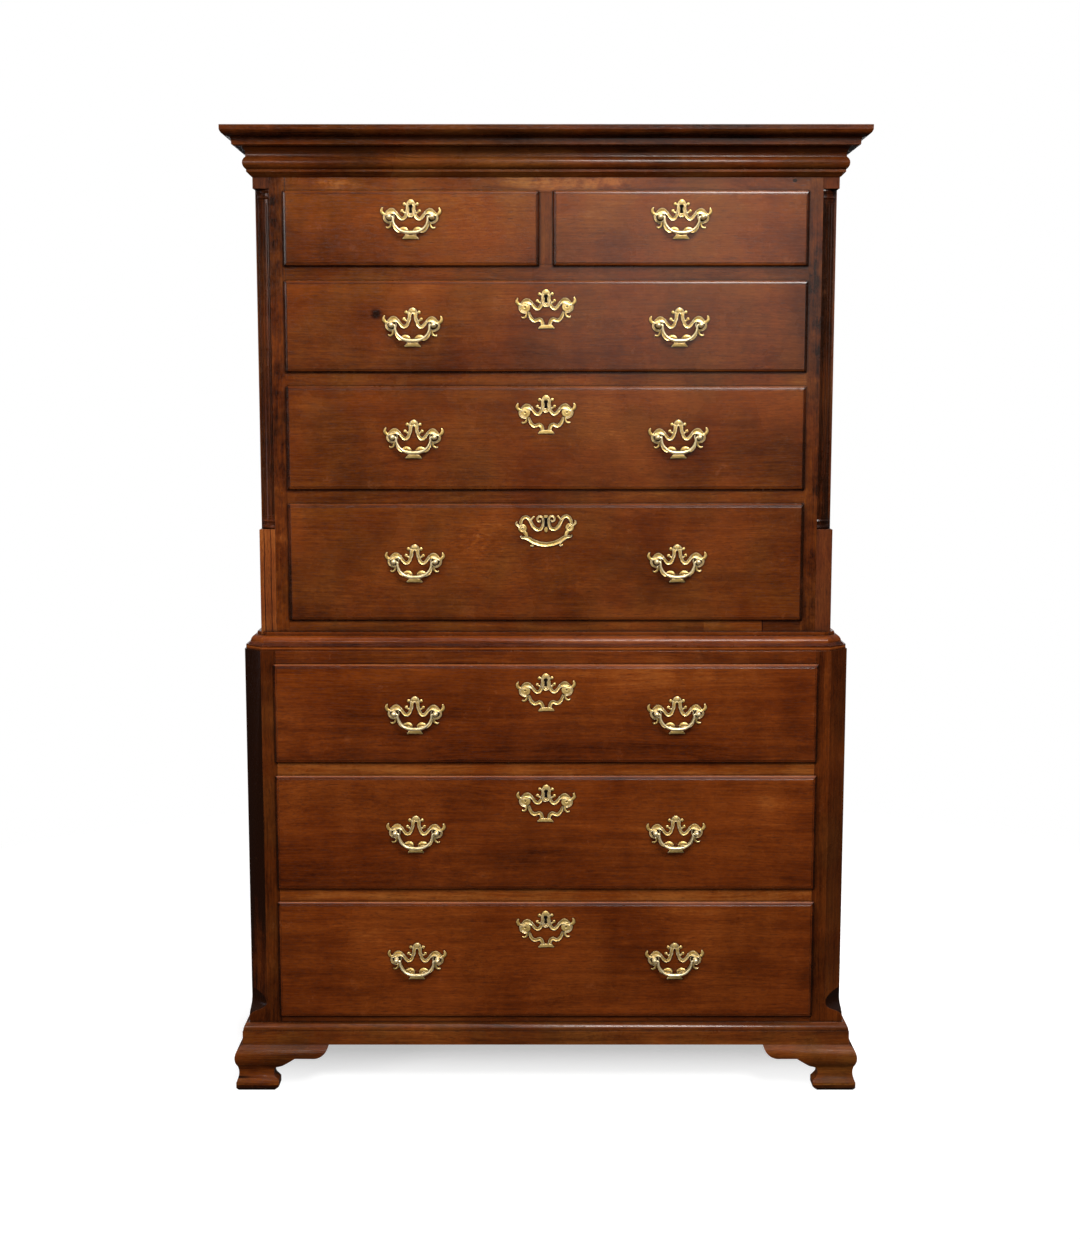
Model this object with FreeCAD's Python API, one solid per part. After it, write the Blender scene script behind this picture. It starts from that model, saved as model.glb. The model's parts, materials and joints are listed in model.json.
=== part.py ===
import FreeCAD, Part
import math
import os

# A Georgian chest on chest in mahogany. Millimetres: X across, Y from front (-) to back (+), Z up.
# The origin is on the floor under the middle of the whole piece.

# ---- the two cases ----
FOOT_HEIGHT = 86.0
LOWER_WIDTH = 1126.0
LOWER_DEPTH = 545.0
UPPER_SET_BACK = 32.0       # the upper case stands in from the lower at its front and sides
SIDE_THICK = 20.0
FRAME_DEPTH = 50.0          # posts, stiles and rails, front to back
FRIEZE_THICK = 24.0
BOARD_THICK = 18.0          # top and bottom boards, kickers
DUST_BOARD_THICK = 9.0
BACK_THICK = 12.0
BACK_RABBET = 10.0
BACK_BOARD_GAP = 1.0
LOWER_BACK_BOARDS = 3
UPPER_BACK_BOARDS = 4

# ---- front frame, heights from the floor up ----
CORNER_POST_WIDTH = 62.0
CHAMFER_LEG = 35.0
TONGUE_HEIGHT = 42.0        # lamb's tongue that ends the chamfer
TONGUE_START = 5.0          # square corner left between the base moulding and the tongue
LOWER_BASE_RAIL = 56.5
LOWER_OPENINGS = (216.0, 210.0, 178.0)
LOWER_RAIL = 32.0
LOWER_TOP_RAIL = 28.5
UPPER_BASE_RAIL = 57.0
UPPER_OPENINGS = (210.0, 182.0, 157.5)
UPPER_RAIL = 33.0
SHORT_OPENING = 127.0
DIVIDER_WIDTH = 32.0
FRIEZE_HEIGHT = 93.5
STILE_WIDTH = 28.5
RUNNER_REACH = 22.0         # how far a runner stands in under the drawer's side
GUIDE_HEIGHT = 22.0

# ---- quarter columns ----
COLUMN_RECESS = 29.0
COLUMN_RADIUS = 24.5
COLUMN_RING = 27.6
COLUMN_END = 21.0           # turned cap or base
PLINTH_BLOCK_HEIGHT = 223.0
FRIEZE_BLOCK_HEIGHT = 86.0
FLUTES = 5
FLUTE_RADIUS = 2.3
FLUTE_SIDES = 8
FLUTE_STOP = 4.0            # flutes end this far short of the shaft's ends

# ---- mouldings: how far each stands out, and how high ----
CORNICE_OUT = 50.0
CORNICE_HEIGHT = 86.0
CORNICE_RISE = 20.0         # the cornice stands above the top board
WAIST_HEIGHT = 32.0
WAIST_LEDGE = 2.5           # the waist moulding sits in from the lower case's faces
BASE_OUT = 12.0
BASE_HEIGHT = 41.0

# ---- bracket feet ----
FOOT_OUT = 26.0             # the swell of the ogee
FOOT_IN = 8.0               # the bracket's flat inner face, behind the case's face
FOOT_WING = 151.0
FOOT_BLOCK = 34.0
REAR_BRACKET_THICK = 20.0
REAR_BRACKET_WING = 110.0
FOOT_BLOCK_LIFT = 3.0

# ---- drawers ----
LIP_OVERLAP = 4.0
LIP_THICK = 6.5
LIP_ROUND = 5.2
LIP_FACETS = 3
FIELD_INSET = 6.5
FIELD_RAISE = 1.0
SEAT_GAP = 0.3              # lip to frame, and drawer to runner
SIDE_CLEAR = 1.0
TOP_CLEAR = 1.5
FRONT_THICK = 15.0          # behind the lip
DRAWER_SIDE_THICK = 11.0
DRAWER_BACK_THICK = 11.0
DRAWER_SIDE_DROP = 2.0      # the sides stop a little below the front's top edge
DRAWER_BACK_DROP = 6.0
DRAWER_REAR_CLEAR = 14.0
BOTTOM_THICK = 8.0
BOTTOM_LIFT = 8.0
GROOVE_DEPTH = 5.0
TAIL_REACH = 11.0
TAIL_PITCH = 66.0
TAIL_SHARE = 0.29           # half a tail's root, as a share of the pitch
TAIL_SLOPE = 0.17

# ---- brasses ----
HANDLE_X = 243.0            # handles of a long drawer, from its middle
HANDLE_RISE = 2.0           # posts, above the drawer's middle
POST_HALF = 38.5
PLATE_THICK = 1.5
COLLAR_RADIUS = 5.2
BALL_RADIUS = 5.3
POST_AXIS_OUT = 11.0        # bail's axis in front of the plate
POST_TIP_OUT = 16.0
PIN_RADIUS = 1.6
PIN_CLEAR = 0.05
PIN_REACH = 9.0             # bail's turned-out end, in the eye of its post
BAIL_CLEAR = 0.3            # bail's leg to the ball of its post
BAIL_DROP = 27.7
BRASS_SIDES = 6             # flats round a post or a bail

# ---- locks ----
KEYHOLE_DROP = 30.0         # keyhole, below the opening's top
KEY_ABOVE_POSTS = 14.0      # keyhole, above the line of the posts on a plate
KEY_SLOT = (4.0, 12.0)
LOCK_WIDTH = 56.0
LOCK_HEIGHT = 44.0
LOCK_THICK = 11.0
LOCK_WALL = 2.0
BOLT_WIDTH = 24.0
BOLT_THICK = 6.0
BOLT_LENGTH = 26.0
BOLT_THROW = 9.0
BOLT_CLEAR = 0.3

# ---- worked out from the sizes above ----
LOWER_HALF = LOWER_WIDTH / 2
UPPER_HALF = LOWER_HALF - UPPER_SET_BACK
LOWER_OPENING_HALF = LOWER_HALF - CORNER_POST_WIDTH
STILE_OUTER = UPPER_HALF - COLUMN_RECESS
UPPER_OPENING_HALF = STILE_OUTER - STILE_WIDTH
LOWER_SIDE_INNER = LOWER_HALF - SIDE_THICK
UPPER_SIDE_INNER = UPPER_HALF - SIDE_THICK

FIELD_OUT = SEAT_GAP + LIP_THICK + FIELD_RAISE
HANDLE_OUT = FIELD_OUT + PLATE_THICK + POST_TIP_OUT
FRONT_REACH = max(FOOT_OUT, HANDLE_OUT, CORNICE_OUT - UPPER_SET_BACK)
LOWER_FRONT = -(LOWER_DEPTH + FRONT_REACH) / 2 + FRONT_REACH
CASE_BACK = LOWER_FRONT + LOWER_DEPTH
UPPER_FRONT = LOWER_FRONT + UPPER_SET_BACK
BACK_FACE = CASE_BACK - BACK_THICK

V = FreeCAD.Vector


def stacked(start, openings, rail):
    """Bottom and top of each opening, one above the other with a rail between."""
    spans = []
    bottom = start
    for height in openings:
        spans.append((bottom, bottom + height))
        bottom += height + rail
    return spans


LOWER_SPANS = stacked(FOOT_HEIGHT + LOWER_BASE_RAIL, LOWER_OPENINGS, LOWER_RAIL)
LOWER_TOP = LOWER_SPANS[-1][1] + LOWER_TOP_RAIL
UPPER_SPANS = stacked(LOWER_TOP + UPPER_BASE_RAIL, UPPER_OPENINGS + (SHORT_OPENING,), UPPER_RAIL)
UPPER_TOP = UPPER_SPANS[-1][1] + FRIEZE_HEIGHT
TOTAL_HEIGHT = UPPER_TOP + CORNICE_RISE
SHORT_HALF = (UPPER_OPENING_HALF - DIVIDER_WIDTH / 2) / 2
SHORT_MIDDLE = DIVIDER_WIDTH / 2 + SHORT_HALF


# ---- helpers ----
def box(x, y, z):
    """A block between two values on each axis."""
    return Part.makeBox(x[1] - x[0], y[1] - y[0], z[1] - z[0], V(x[0], y[0], z[0]))


def mirrored(solid):
    return solid.mirror(V(0, 0, 0), V(1, 0, 0))


def pair(solid):
    """A right-hand piece and its left-hand twin."""
    return [solid, mirrored(solid)]


def traced(steps, place):
    """A flat face: a start point, then lines (a, b) and arcs ((via), (to)), put in space by place."""
    edges = []
    here = steps[0]
    for step in list(steps[1:]) + [steps[0]]:
        if isinstance(step[0], tuple):
            via, there = step
            edges.append(Part.Arc(place(*here), place(*via), place(*there)).toShape())
        else:
            there = step
            edges.append(Part.makeLine(place(*here), place(*there)))
        here = there
    return Part.Face(Part.Wire(edges))


def plan_block(points, z):
    face = traced(points, lambda x, y: V(x, y, z[0]))
    return face.extrude(V(0, 0, z[1] - z[0]))


def joined(solids):
    whole = solids[0]
    for solid in solids[1:]:
        whole = whole.fuse(solid)
    return whole.removeSplitter().Solids[0]


def cut_away(solid, tools):
    for tool in tools:
        solid = solid.cut(tool)
    return solid.Solids[0]


def mitred_lengths(profile, path, inward, outward):
    """Lengths of a moulding along a plan path, mitred at its corners and square at its two ends."""
    runs = []
    for start, end in zip(path, path[1:]):
        length = math.dist(start, end)
        runs.append(((end[0] - start[0]) / length, (end[1] - start[1]) / length, length))
    normals = [(run[1], -run[0]) for run in runs]
    mitres = [normals[0]]
    for one, two in zip(normals, normals[1:]):
        share = 1 + one[0] * two[0] + one[1] * two[1]
        mitres.append(((one[0] + two[0]) / share, (one[1] + two[1]) / share))
    mitres.append(normals[-1])
    heights = [point[1] for step in profile for point in (step if isinstance(step[0], tuple) else (step,))]
    low, high = min(heights) - 1, max(heights) + 1
    lengths = []
    for i, (run, normal) in enumerate(zip(runs, normals)):
        spare = 2 * (inward + outward)
        begin = V(path[i][0] - run[0] * spare, path[i][1] - run[1] * spare, 0)
        out = V(normal[0], normal[1], 0)
        face = traced(profile, lambda p, z: begin + out * p + V(0, 0, z))
        bar = face.extrude(V(run[0], run[1], 0) * (run[2] + 2 * spare))
        corners = [(i, -inward), (i + 1, -inward), (i + 1, outward), (i, outward)]
        wedge = [(path[k][0] + mitres[k][0] * p, path[k][1] + mitres[k][1] * p) for k, p in corners]
        lengths.append(bar.common(plan_block(wedge, (low, high))).Solids[0])
    return lengths


def ring(centre, radius, along, across, sides):
    """Corners of an equal-sided polygon about a centre, with one flat side towards along."""
    points = []
    for i in range(sides):
        angle = math.tau * (i + 0.5) / sides
        points.append(centre + along * (radius * math.cos(angle)) + across * (radius * math.sin(angle)))
    return points


def flat(points):
    return Part.Face(Part.makePolygon(points + points[:1]))


def faceted(rings):
    """A bar of flat facets through rings of corners, closed at both ends."""
    faces = [flat(rings[0]), flat(rings[-1])]
    for near, far in zip(rings, rings[1:]):
        for i in range(len(near)):
            after = (i + 1) % len(near)
            faces += [flat([near[i], near[after], far[after]]), flat([near[i], far[after], far[i]])]
    return Part.Solid(Part.makeShell(faces))


def save(name, solids):
    for solid in solids:
        if not solid.isValid():
            raise ValueError(name + " has a faulty solid")
    Part.makeCompound(solids).exportStep("parts/" + name + ".step")


# ---- lower case ----
def lower_corner_post():
    """Right front post, canted from top to bottom and returned to square by a lamb's tongue."""
    post = box((LOWER_OPENING_HALF, LOWER_HALF), (LOWER_FRONT, LOWER_FRONT + FRAME_DEPTH),
               (FOOT_HEIGHT, LOWER_TOP))
    slant = math.sqrt(0.5)
    deep = -CHAMFER_LEG * slant
    foot = FOOT_HEIGHT + BASE_HEIGHT + TONGUE_START
    head = foot + TONGUE_HEIGHT
    waist = foot + 0.45 * TONGUE_HEIGHT
    away = CHAMFER_LEG
    tongue = [(deep, LOWER_TOP + 1), (deep, head),
              ((0.90 * deep, foot + 0.64 * TONGUE_HEIGHT), (0.52 * deep, waist)),
              ((0.16 * deep, foot + 0.30 * TONGUE_HEIGHT), (0, foot)),
              (away, foot), (away, LOWER_TOP + 1)]
    start = V(LOWER_HALF - slant * 2 * away, LOWER_FRONT - slant * 2 * away, 0)
    face = traced(tongue, lambda t, z: start + V(slant * t, -slant * t, z))
    return cut_away(post, [face.extrude(V(slant, slant, 0) * 4 * away)])


def case_side(half, front, bottom, top, backs):
    side = box((half - SIDE_THICK, half), (front, CASE_BACK), (bottom, top))
    return pair(cut_away(side, backs))


def back_boards(half, bottom, top, count):
    """Level boards nailed into the rabbets of a case."""
    pitch = (top - bottom + BACK_BOARD_GAP) / count
    wide = half - SIDE_THICK + BACK_RABBET
    return [box((-wide, wide), (BACK_FACE, CASE_BACK),
                (bottom + i * pitch, bottom + (i + 1) * pitch - BACK_BOARD_GAP)) for i in range(count)]


def bolt_mortises(drawers):
    """Slots in the rails for the lock bolts of the drawers below."""
    slots = []
    for drawer in drawers:
        x, y, z = bolt_span(drawer)
        room = 2 * BOLT_CLEAR
        slots.append(box((x[0] - room, x[1] + room), (y[0] - room, y[1] + room),
                         (drawer["span"][1], z[1] + BOLT_THROW + room)))
    return slots


def drawer_rails(half, front, spans):
    return [box((-half, half), (front, front + FRAME_DEPTH), span) for span in spans]


def between(spans):
    return [(low[1], high[0]) for low, high in zip(spans, spans[1:])]


def runners(opening_half, side_inner, front, span, guided=True):
    """Right and left runner of one level, each with its drawer guide on top."""
    depth = (front + FRAME_DEPTH, BACK_FACE)
    solids = pair(box((opening_half - RUNNER_REACH, side_inner), depth, span))
    if guided:
        guide = (span[1], span[1] + GUIDE_HEIGHT)
        solids += pair(box((opening_half, side_inner), depth, guide))
    return solids


def dust_board(x, front, rail):
    middle = (rail[0] + rail[1]) / 2
    level = (middle - DUST_BOARD_THICK / 2, middle + DUST_BOARD_THICK / 2)
    return box(x, (front + FRAME_DEPTH, BACK_FACE), level)


def lower_inner_boards():
    depth = (LOWER_FRONT + FRAME_DEPTH, BACK_FACE)
    wide = (-LOWER_SIDE_INNER, LOWER_SIDE_INNER)
    floor_top = FOOT_HEIGHT + BOARD_THICK
    solids = [box(wide, depth, (FOOT_HEIGHT, floor_top)), box(wide, depth, (LOWER_TOP - BOARD_THICK, LOWER_TOP))]
    inner = LOWER_OPENING_HALF - RUNNER_REACH
    solids += runners(LOWER_OPENING_HALF, LOWER_SIDE_INNER, LOWER_FRONT, (floor_top, LOWER_SPANS[0][0]))
    for rail in between(LOWER_SPANS):
        solids += runners(LOWER_OPENING_HALF, LOWER_SIDE_INNER, LOWER_FRONT, rail)
        solids.append(dust_board((-inner, inner), LOWER_FRONT, rail))
    kicker = (LOWER_SPANS[-1][1], LOWER_TOP - BOARD_THICK)
    solids += runners(LOWER_OPENING_HALF, LOWER_SIDE_INNER, LOWER_FRONT, kicker, guided=False)
    return solids + foot_blocks()


# ---- bracket feet ----
def ogee_section():
    """The feet's swelled front, as (out, up)."""
    out = FOOT_OUT
    return [(-FOOT_IN, 0), (out - 6, 0), (out - 2, 5), (out - 2, 15), (out - 5, 23),
            ((out - 7.2, 33), (out - 5, 47)), ((out, 63), (out - 5, 79)), (BASE_OUT, FOOT_HEIGHT),
            (-FOOT_IN, FOOT_HEIGHT)]


def bracket_outline(outer):
    """A bracket's face, as (in from the case's corner, up): toe, neck, cusp and wing."""
    return [(outer, 0), (48, 0), (57, 8), (57, 19), (49, 27), ((47, 35), (51, 44)), (63, 47), (88, 63),
            (119, 63), ((FOOT_WING - 10, 69.5), (FOOT_WING, FOOT_HEIGHT)), (outer, FOOT_HEIGHT)]


def front_bracket():
    """Front bracket of the right foot, mitred at the corner."""
    reach = FOOT_OUT + 4
    section = traced(ogee_section(), lambda p, z: V(LOWER_HALF - FOOT_WING, LOWER_FRONT - p, z))
    bar = section.extrude(V(FOOT_WING + reach, 0, 0))
    face = traced(bracket_outline(-reach), lambda s, z: V(LOWER_HALF - s, LOWER_FRONT - reach, z))
    shape = face.extrude(V(0, reach + FOOT_IN, 0))
    corner = [(LOWER_HALF - FOOT_WING, LOWER_FRONT + FOOT_IN), (LOWER_HALF - FOOT_IN, LOWER_FRONT + FOOT_IN),
              (LOWER_HALF + reach, LOWER_FRONT - reach), (LOWER_HALF - FOOT_WING, LOWER_FRONT - reach)]
    return bar.common(shape).common(plan_block(corner, (0, FOOT_HEIGHT))).Solids[0]


def rear_bracket():
    """Side bracket of the right rear foot, square at the back of the case."""
    section = traced(ogee_section(), lambda p, z: V(LOWER_HALF + p, CASE_BACK - FOOT_WING, z))
    bar = section.extrude(V(0, FOOT_WING, 0))
    face = traced(bracket_outline(0), lambda s, z: V(LOWER_HALF - FOOT_IN, CASE_BACK - s, z))
    return bar.common(face.extrude(V(FOOT_IN + FOOT_OUT, 0, 0))).Solids[0]


def back_bracket():
    """Plain board across the back of the right rear foot."""
    inner = LOWER_HALF - FOOT_IN
    outline = [(0, 0), (44, 0), ((56, 38), (REAR_BRACKET_WING, 60)), (REAR_BRACKET_WING, FOOT_HEIGHT),
               (0, FOOT_HEIGHT)]
    face = traced(outline, lambda s, z: V(inner - s, CASE_BACK - REAR_BRACKET_THICK, z))
    return face.extrude(V(0, REAR_BRACKET_THICK, 0))


def bracket_feet():
    front = front_bracket()
    side = front.mirror(V(LOWER_HALF, LOWER_FRONT, 0), V(1, 1, 0))
    return [foot for half in (front, side, rear_bracket(), back_bracket()) for foot in pair(half)]


def foot_blocks():
    inner = LOWER_HALF - FOOT_IN
    height = (FOOT_BLOCK_LIFT, FOOT_HEIGHT)
    front = LOWER_FRONT + FOOT_IN
    rear = CASE_BACK - REAR_BRACKET_THICK
    return (pair(box((inner - FOOT_BLOCK, inner), (front, front + FOOT_BLOCK), height))
            + pair(box((inner - FOOT_BLOCK, inner), (rear - FOOT_BLOCK, rear), height)))


# ---- mouldings ----
def base_moulding():
    z = FOOT_HEIGHT
    out = BASE_OUT
    profile = [(0, z), (out, z), (out, z + 26.5), (out - 1.5, z + 26.5), (out - 1.5, z + 29),
               ((out - 4, z + BASE_HEIGHT - 4), (1.5, z + BASE_HEIGHT)), (0, z + BASE_HEIGHT)]
    path = [(-LOWER_HALF, CASE_BACK), (-LOWER_HALF, LOWER_FRONT), (LOWER_HALF, LOWER_FRONT),
            (LOWER_HALF, CASE_BACK)]
    return mitred_lengths(profile, path, 0, BASE_OUT + 1)


def waist_moulding():
    """Rim on the lower case that holds the upper one: fillet, hollow, ovolo and top fillet."""
    z = LOWER_TOP
    face = -WAIST_LEDGE
    back = -UPPER_SET_BACK
    top = z + WAIST_HEIGHT
    profile = [(back - 1, z), (face, z), (face, z + 8.5), (face - 3, z + 8.5),
               (face - 8, z + 13), ((face - 11.5, top - 10), (face - 20.5, top - 6)),
               (face - 20.5, top), (back - 1, top)]
    cant = CHAMFER_LEG
    right = [(LOWER_HALF - cant, LOWER_FRONT), (LOWER_HALF, LOWER_FRONT + cant), (LOWER_HALF, CASE_BACK)]
    path = [(-x, y) for x, y in reversed(right)] + right
    upper = box((-UPPER_HALF, UPPER_HALF), (UPPER_FRONT, CASE_BACK + 1), (z - 1, top + 1))
    lengths = mitred_lengths(profile, path, UPPER_SET_BACK + 1, 1)
    return [cut_away(length, [upper]) for length in lengths]


def cornice():
    """Fillet, cyma, corona, cove, bead and cavetto, from the top down."""
    z = TOTAL_HEIGHT
    out = CORNICE_OUT
    foot = z - CORNICE_HEIGHT
    profile = [(0, z), (out, z), (out, z - 8), ((out - 3.5, z - 14.5), (out - 10.5, z - 18.5)),
               (out - 16, z - 19.5), (out - 18, z - 22), (out - 18.5, z - 32), (out - 22, z - 34),
               (16, z - 34), ((11.5, z - 40), (10.5, z - 51)), ((15.5, z - 63), (9.5, z - 73)),
               (9.5, foot + 9), (1.5, foot + 1), (0, foot)]
    path = [(-UPPER_HALF, CASE_BACK), (-UPPER_HALF, UPPER_FRONT), (UPPER_HALF, UPPER_FRONT),
            (UPPER_HALF, CASE_BACK)]
    return mitred_lengths(profile, path, 0, CORNICE_OUT + 1)


# ---- upper case ----
def upper_stile():
    """Right stile, stepped behind so that it backs the column's recess."""
    shoulder = UPPER_FRONT + COLUMN_RECESS
    rear = UPPER_FRONT + FRAME_DEPTH
    plan = [(UPPER_OPENING_HALF, UPPER_FRONT), (STILE_OUTER, UPPER_FRONT), (STILE_OUTER, shoulder),
            (UPPER_SIDE_INNER, shoulder), (UPPER_SIDE_INNER, rear), (UPPER_OPENING_HALF, rear)]
    return plan_block(plan, (LOWER_TOP, UPPER_TOP))


def upper_front_frame(drawers):
    rails = [(LOWER_TOP, UPPER_SPANS[0][0])] + between(UPPER_SPANS)
    solids = pair(upper_stile())
    mortises = bolt_mortises(drawers)
    frieze = box((-UPPER_OPENING_HALF, UPPER_OPENING_HALF), (UPPER_FRONT, UPPER_FRONT + FRIEZE_THICK),
                 (UPPER_SPANS[-1][1], UPPER_TOP))
    for rail in drawer_rails(UPPER_OPENING_HALF, UPPER_FRONT, rails) + [frieze]:
        solids.append(cut_away(rail, mortises))
    solids.append(box((-DIVIDER_WIDTH / 2, DIVIDER_WIDTH / 2), (UPPER_FRONT, UPPER_FRONT + FRAME_DEPTH),
                      UPPER_SPANS[-1]))
    return solids


def upper_top_board():
    """Board over the upper drawers, notched round the stiles."""
    nose = [(UPPER_OPENING_HALF, UPPER_FRONT + FRIEZE_THICK), (UPPER_OPENING_HALF, UPPER_FRONT + FRAME_DEPTH),
            (UPPER_SIDE_INNER, UPPER_FRONT + FRAME_DEPTH), (UPPER_SIDE_INNER, BACK_FACE)]
    plan = nose + [(-x, y) for x, y in reversed(nose)]
    return plan_block(plan, (UPPER_TOP - BOARD_THICK, UPPER_TOP))


def upper_inner_boards():
    depth = (UPPER_FRONT + FRAME_DEPTH, BACK_FACE)
    wide = (-UPPER_SIDE_INNER, UPPER_SIDE_INNER)
    floor_top = LOWER_TOP + BOARD_THICK
    solids = [box(wide, depth, (LOWER_TOP, floor_top)), upper_top_board()]
    solids += runners(UPPER_OPENING_HALF, UPPER_SIDE_INNER, UPPER_FRONT, (floor_top, UPPER_SPANS[0][0]))
    inner = UPPER_OPENING_HALF - RUNNER_REACH
    rails = between(UPPER_SPANS)
    for rail in rails:
        solids += runners(UPPER_OPENING_HALF, UPPER_SIDE_INNER, UPPER_FRONT, rail)
    for rail in rails[:-1]:
        solids.append(dust_board((-inner, inner), UPPER_FRONT, rail))
    middle = DIVIDER_WIDTH / 2 + RUNNER_REACH
    solids.append(box((-middle, middle), depth, rails[-1]))
    solids.append(box((-DIVIDER_WIDTH / 2, DIVIDER_WIDTH / 2), depth,
                      (rails[-1][1], rails[-1][1] + GUIDE_HEIGHT)))
    solids += pair(dust_board((middle, inner), UPPER_FRONT, rails[-1]))
    kicker = (UPPER_SPANS[-1][1], UPPER_SPANS[-1][1] + BOARD_THICK)
    solids += runners(UPPER_OPENING_HALF, UPPER_SIDE_INNER, UPPER_FRONT, kicker, guided=False)
    solids.append(box((-middle, middle), (UPPER_FRONT + FRIEZE_THICK, BACK_FACE), kicker))
    return solids


# ---- quarter columns ----
def column_span():
    return (LOWER_TOP + PLINTH_BLOCK_HEIGHT, UPPER_TOP - FRIEZE_BLOCK_HEIGHT)


def turned_end(base, up):
    """A quarter of a turned cap or base: a ring, a neck and an astragal, grown up or down from base."""
    bead = COLUMN_RING
    neck = COLUMN_RADIUS + 0.8
    middle = V(STILE_OUTER, UPPER_FRONT + COLUMN_RECESS, base)
    outline = [(0, 0), (bead - 1, 0), (bead, 3.6), (bead - 1, 7.2), (neck, 8), (neck, 12), (bead - 0.8, 15),
               (neck, 18), (neck, COLUMN_END), (0, COLUMN_END)]
    face = traced(outline, lambda r, z: middle + V(r, 0, up * z))
    return face.revolve(middle, V(0, 0, 1), -90)


def fluted_shaft(span):
    centre = V(STILE_OUTER, UPPER_FRONT + COLUMN_RECESS, span[0])
    height = span[1] - span[0]
    shaft = Part.makeCylinder(COLUMN_RADIUS, height, centre, V(0, 0, 1), 90)
    shaft.rotate(centre, V(0, 0, 1), -90)
    tools = []
    for i in range(FLUTES):
        angle = math.radians(90 * (i + 0.5) / FLUTES)
        out = V(math.sin(angle), -math.cos(angle), 0)
        hollow = ring(centre + out * (COLUMN_RADIUS + 0.35 * FLUTE_RADIUS) + V(0, 0, FLUTE_STOP), FLUTE_RADIUS,
                      out, V(out.y, -out.x, 0), FLUTE_SIDES)
        tools.append(flat(hollow).extrude(V(0, 0, height - 2 * FLUTE_STOP)))
    return cut_away(shaft, tools)


def quarter_columns():
    low, high = column_span()
    shaft = fluted_shaft((low + COLUMN_END, high - COLUMN_END))
    return [piece for half in (shaft, turned_end(low, 1), turned_end(high, -1)) for piece in pair(half)]


def corner_blocks():
    low, high = column_span()
    x = (STILE_OUTER, UPPER_HALF)
    y = (UPPER_FRONT, UPPER_FRONT + COLUMN_RECESS)
    return pair(box(x, y, (LOWER_TOP, low))) + pair(box(x, y, (high, UPPER_TOP)))


# ---- drawers ----
def drawer_list():
    """Every drawer: its name, opening, front plane and the places of its handles and keyhole."""
    drawers = []
    for name, side in (("short_drawer_left", -1), ("short_drawer_right", 1)):
        drawers.append({"name": name, "middle": side * SHORT_MIDDLE, "half": SHORT_HALF,
                        "span": UPPER_SPANS[-1], "front": UPPER_FRONT, "long": False})
    for i, span in enumerate(reversed(UPPER_SPANS[:-1])):
        drawers.append({"name": "upper_drawer_%d" % (i + 1), "middle": 0.0, "half": UPPER_OPENING_HALF,
                        "span": span, "front": UPPER_FRONT, "long": True})
    for i, span in enumerate(reversed(LOWER_SPANS)):
        drawers.append({"name": "lower_drawer_%d" % (i + 1), "middle": 0.0, "half": LOWER_OPENING_HALF,
                        "span": span, "front": LOWER_FRONT, "long": True})
    return drawers


def key_height(drawer):
    return drawer["span"][1] - KEYHOLE_DROP


def handles(drawer):
    """Name, X and Z of each handle, on the line of its posts."""
    if not drawer["long"]:
        return [("bail", drawer["middle"], key_height(drawer) - KEY_ABOVE_POSTS)]
    height = sum(drawer["span"]) / 2 + HANDLE_RISE
    return [("left_bail", -HANDLE_X, height), ("right_bail", HANDLE_X, height)]


def dovetails(shoulder, reach, z, count):
    """Points up one end of a drawer's side, with its tails."""
    pitch = (z[1] - z[0]) / count
    points = []
    for i in range(count):
        middle = z[0] + pitch * (i + 0.5)
        root = pitch * TAIL_SHARE
        tip = root + abs(reach) * TAIL_SLOPE
        points += [(shoulder, middle - root), (shoulder + reach, middle - tip),
                   (shoulder + reach, middle + tip), (shoulder, middle + root)]
    return points


def drawer_box(drawer):
    """Right side, left side, back and bottom of a drawer, in their places."""
    outer = drawer["half"] - SIDE_CLEAR
    inner = outer - DRAWER_SIDE_THICK
    bottom = drawer["span"][0] + SEAT_GAP
    top = drawer["span"][1] - TOP_CLEAR - DRAWER_SIDE_DROP
    shoulder = drawer["front"] + FRONT_THICK
    rear = BACK_FACE - DRAWER_REAR_CLEAR
    floor = (bottom + BOTTOM_LIFT, bottom + BOTTOM_LIFT + BOTTOM_THICK)
    back_z = (floor[1], top - DRAWER_BACK_DROP)
    count = max(2, round((top - bottom) / TAIL_PITCH))
    back_count = max(2, round((back_z[1] - back_z[0]) / TAIL_PITCH))
    back_shoulder = rear - DRAWER_BACK_THICK
    outline = ([(back_shoulder, bottom), (shoulder, bottom)]
               + dovetails(shoulder, -TAIL_REACH, (bottom, top), count) + [(shoulder, top), (back_shoulder, top)]
               + dovetails(back_shoulder, DRAWER_BACK_THICK, back_z, back_count)[::-1])
    reach = inner + GROOVE_DEPTH
    board = box((-reach, reach), (shoulder - GROOVE_DEPTH, rear), floor)
    side = traced(outline, lambda y, z: V(inner, y, z)).extrude(V(DRAWER_SIDE_THICK, 0, 0))
    sides = pair(cut_away(side, [board]))
    back = cut_away(box((-outer, outer), (back_shoulder, rear), back_z), sides)
    move = V(drawer["middle"], 0, 0)
    return [solid.translated(move) for solid in sides + [back, board]]


def rounded_slab(low, high, back, face):
    """Section of the lip between two heights or widths: rounded over in front at both edges."""
    step = math.radians(90 / LIP_FACETS)
    corner = []
    for i in range(LIP_FACETS + 1):
        inward = LIP_ROUND * (1 - math.cos(i * step))
        corner.append((low + inward, face + LIP_ROUND * (1 - math.sin(i * step))))
    outline = [(low, back)] + corner
    return outline + [(low + high - a, b) for a, b in reversed(outline)]


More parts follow.
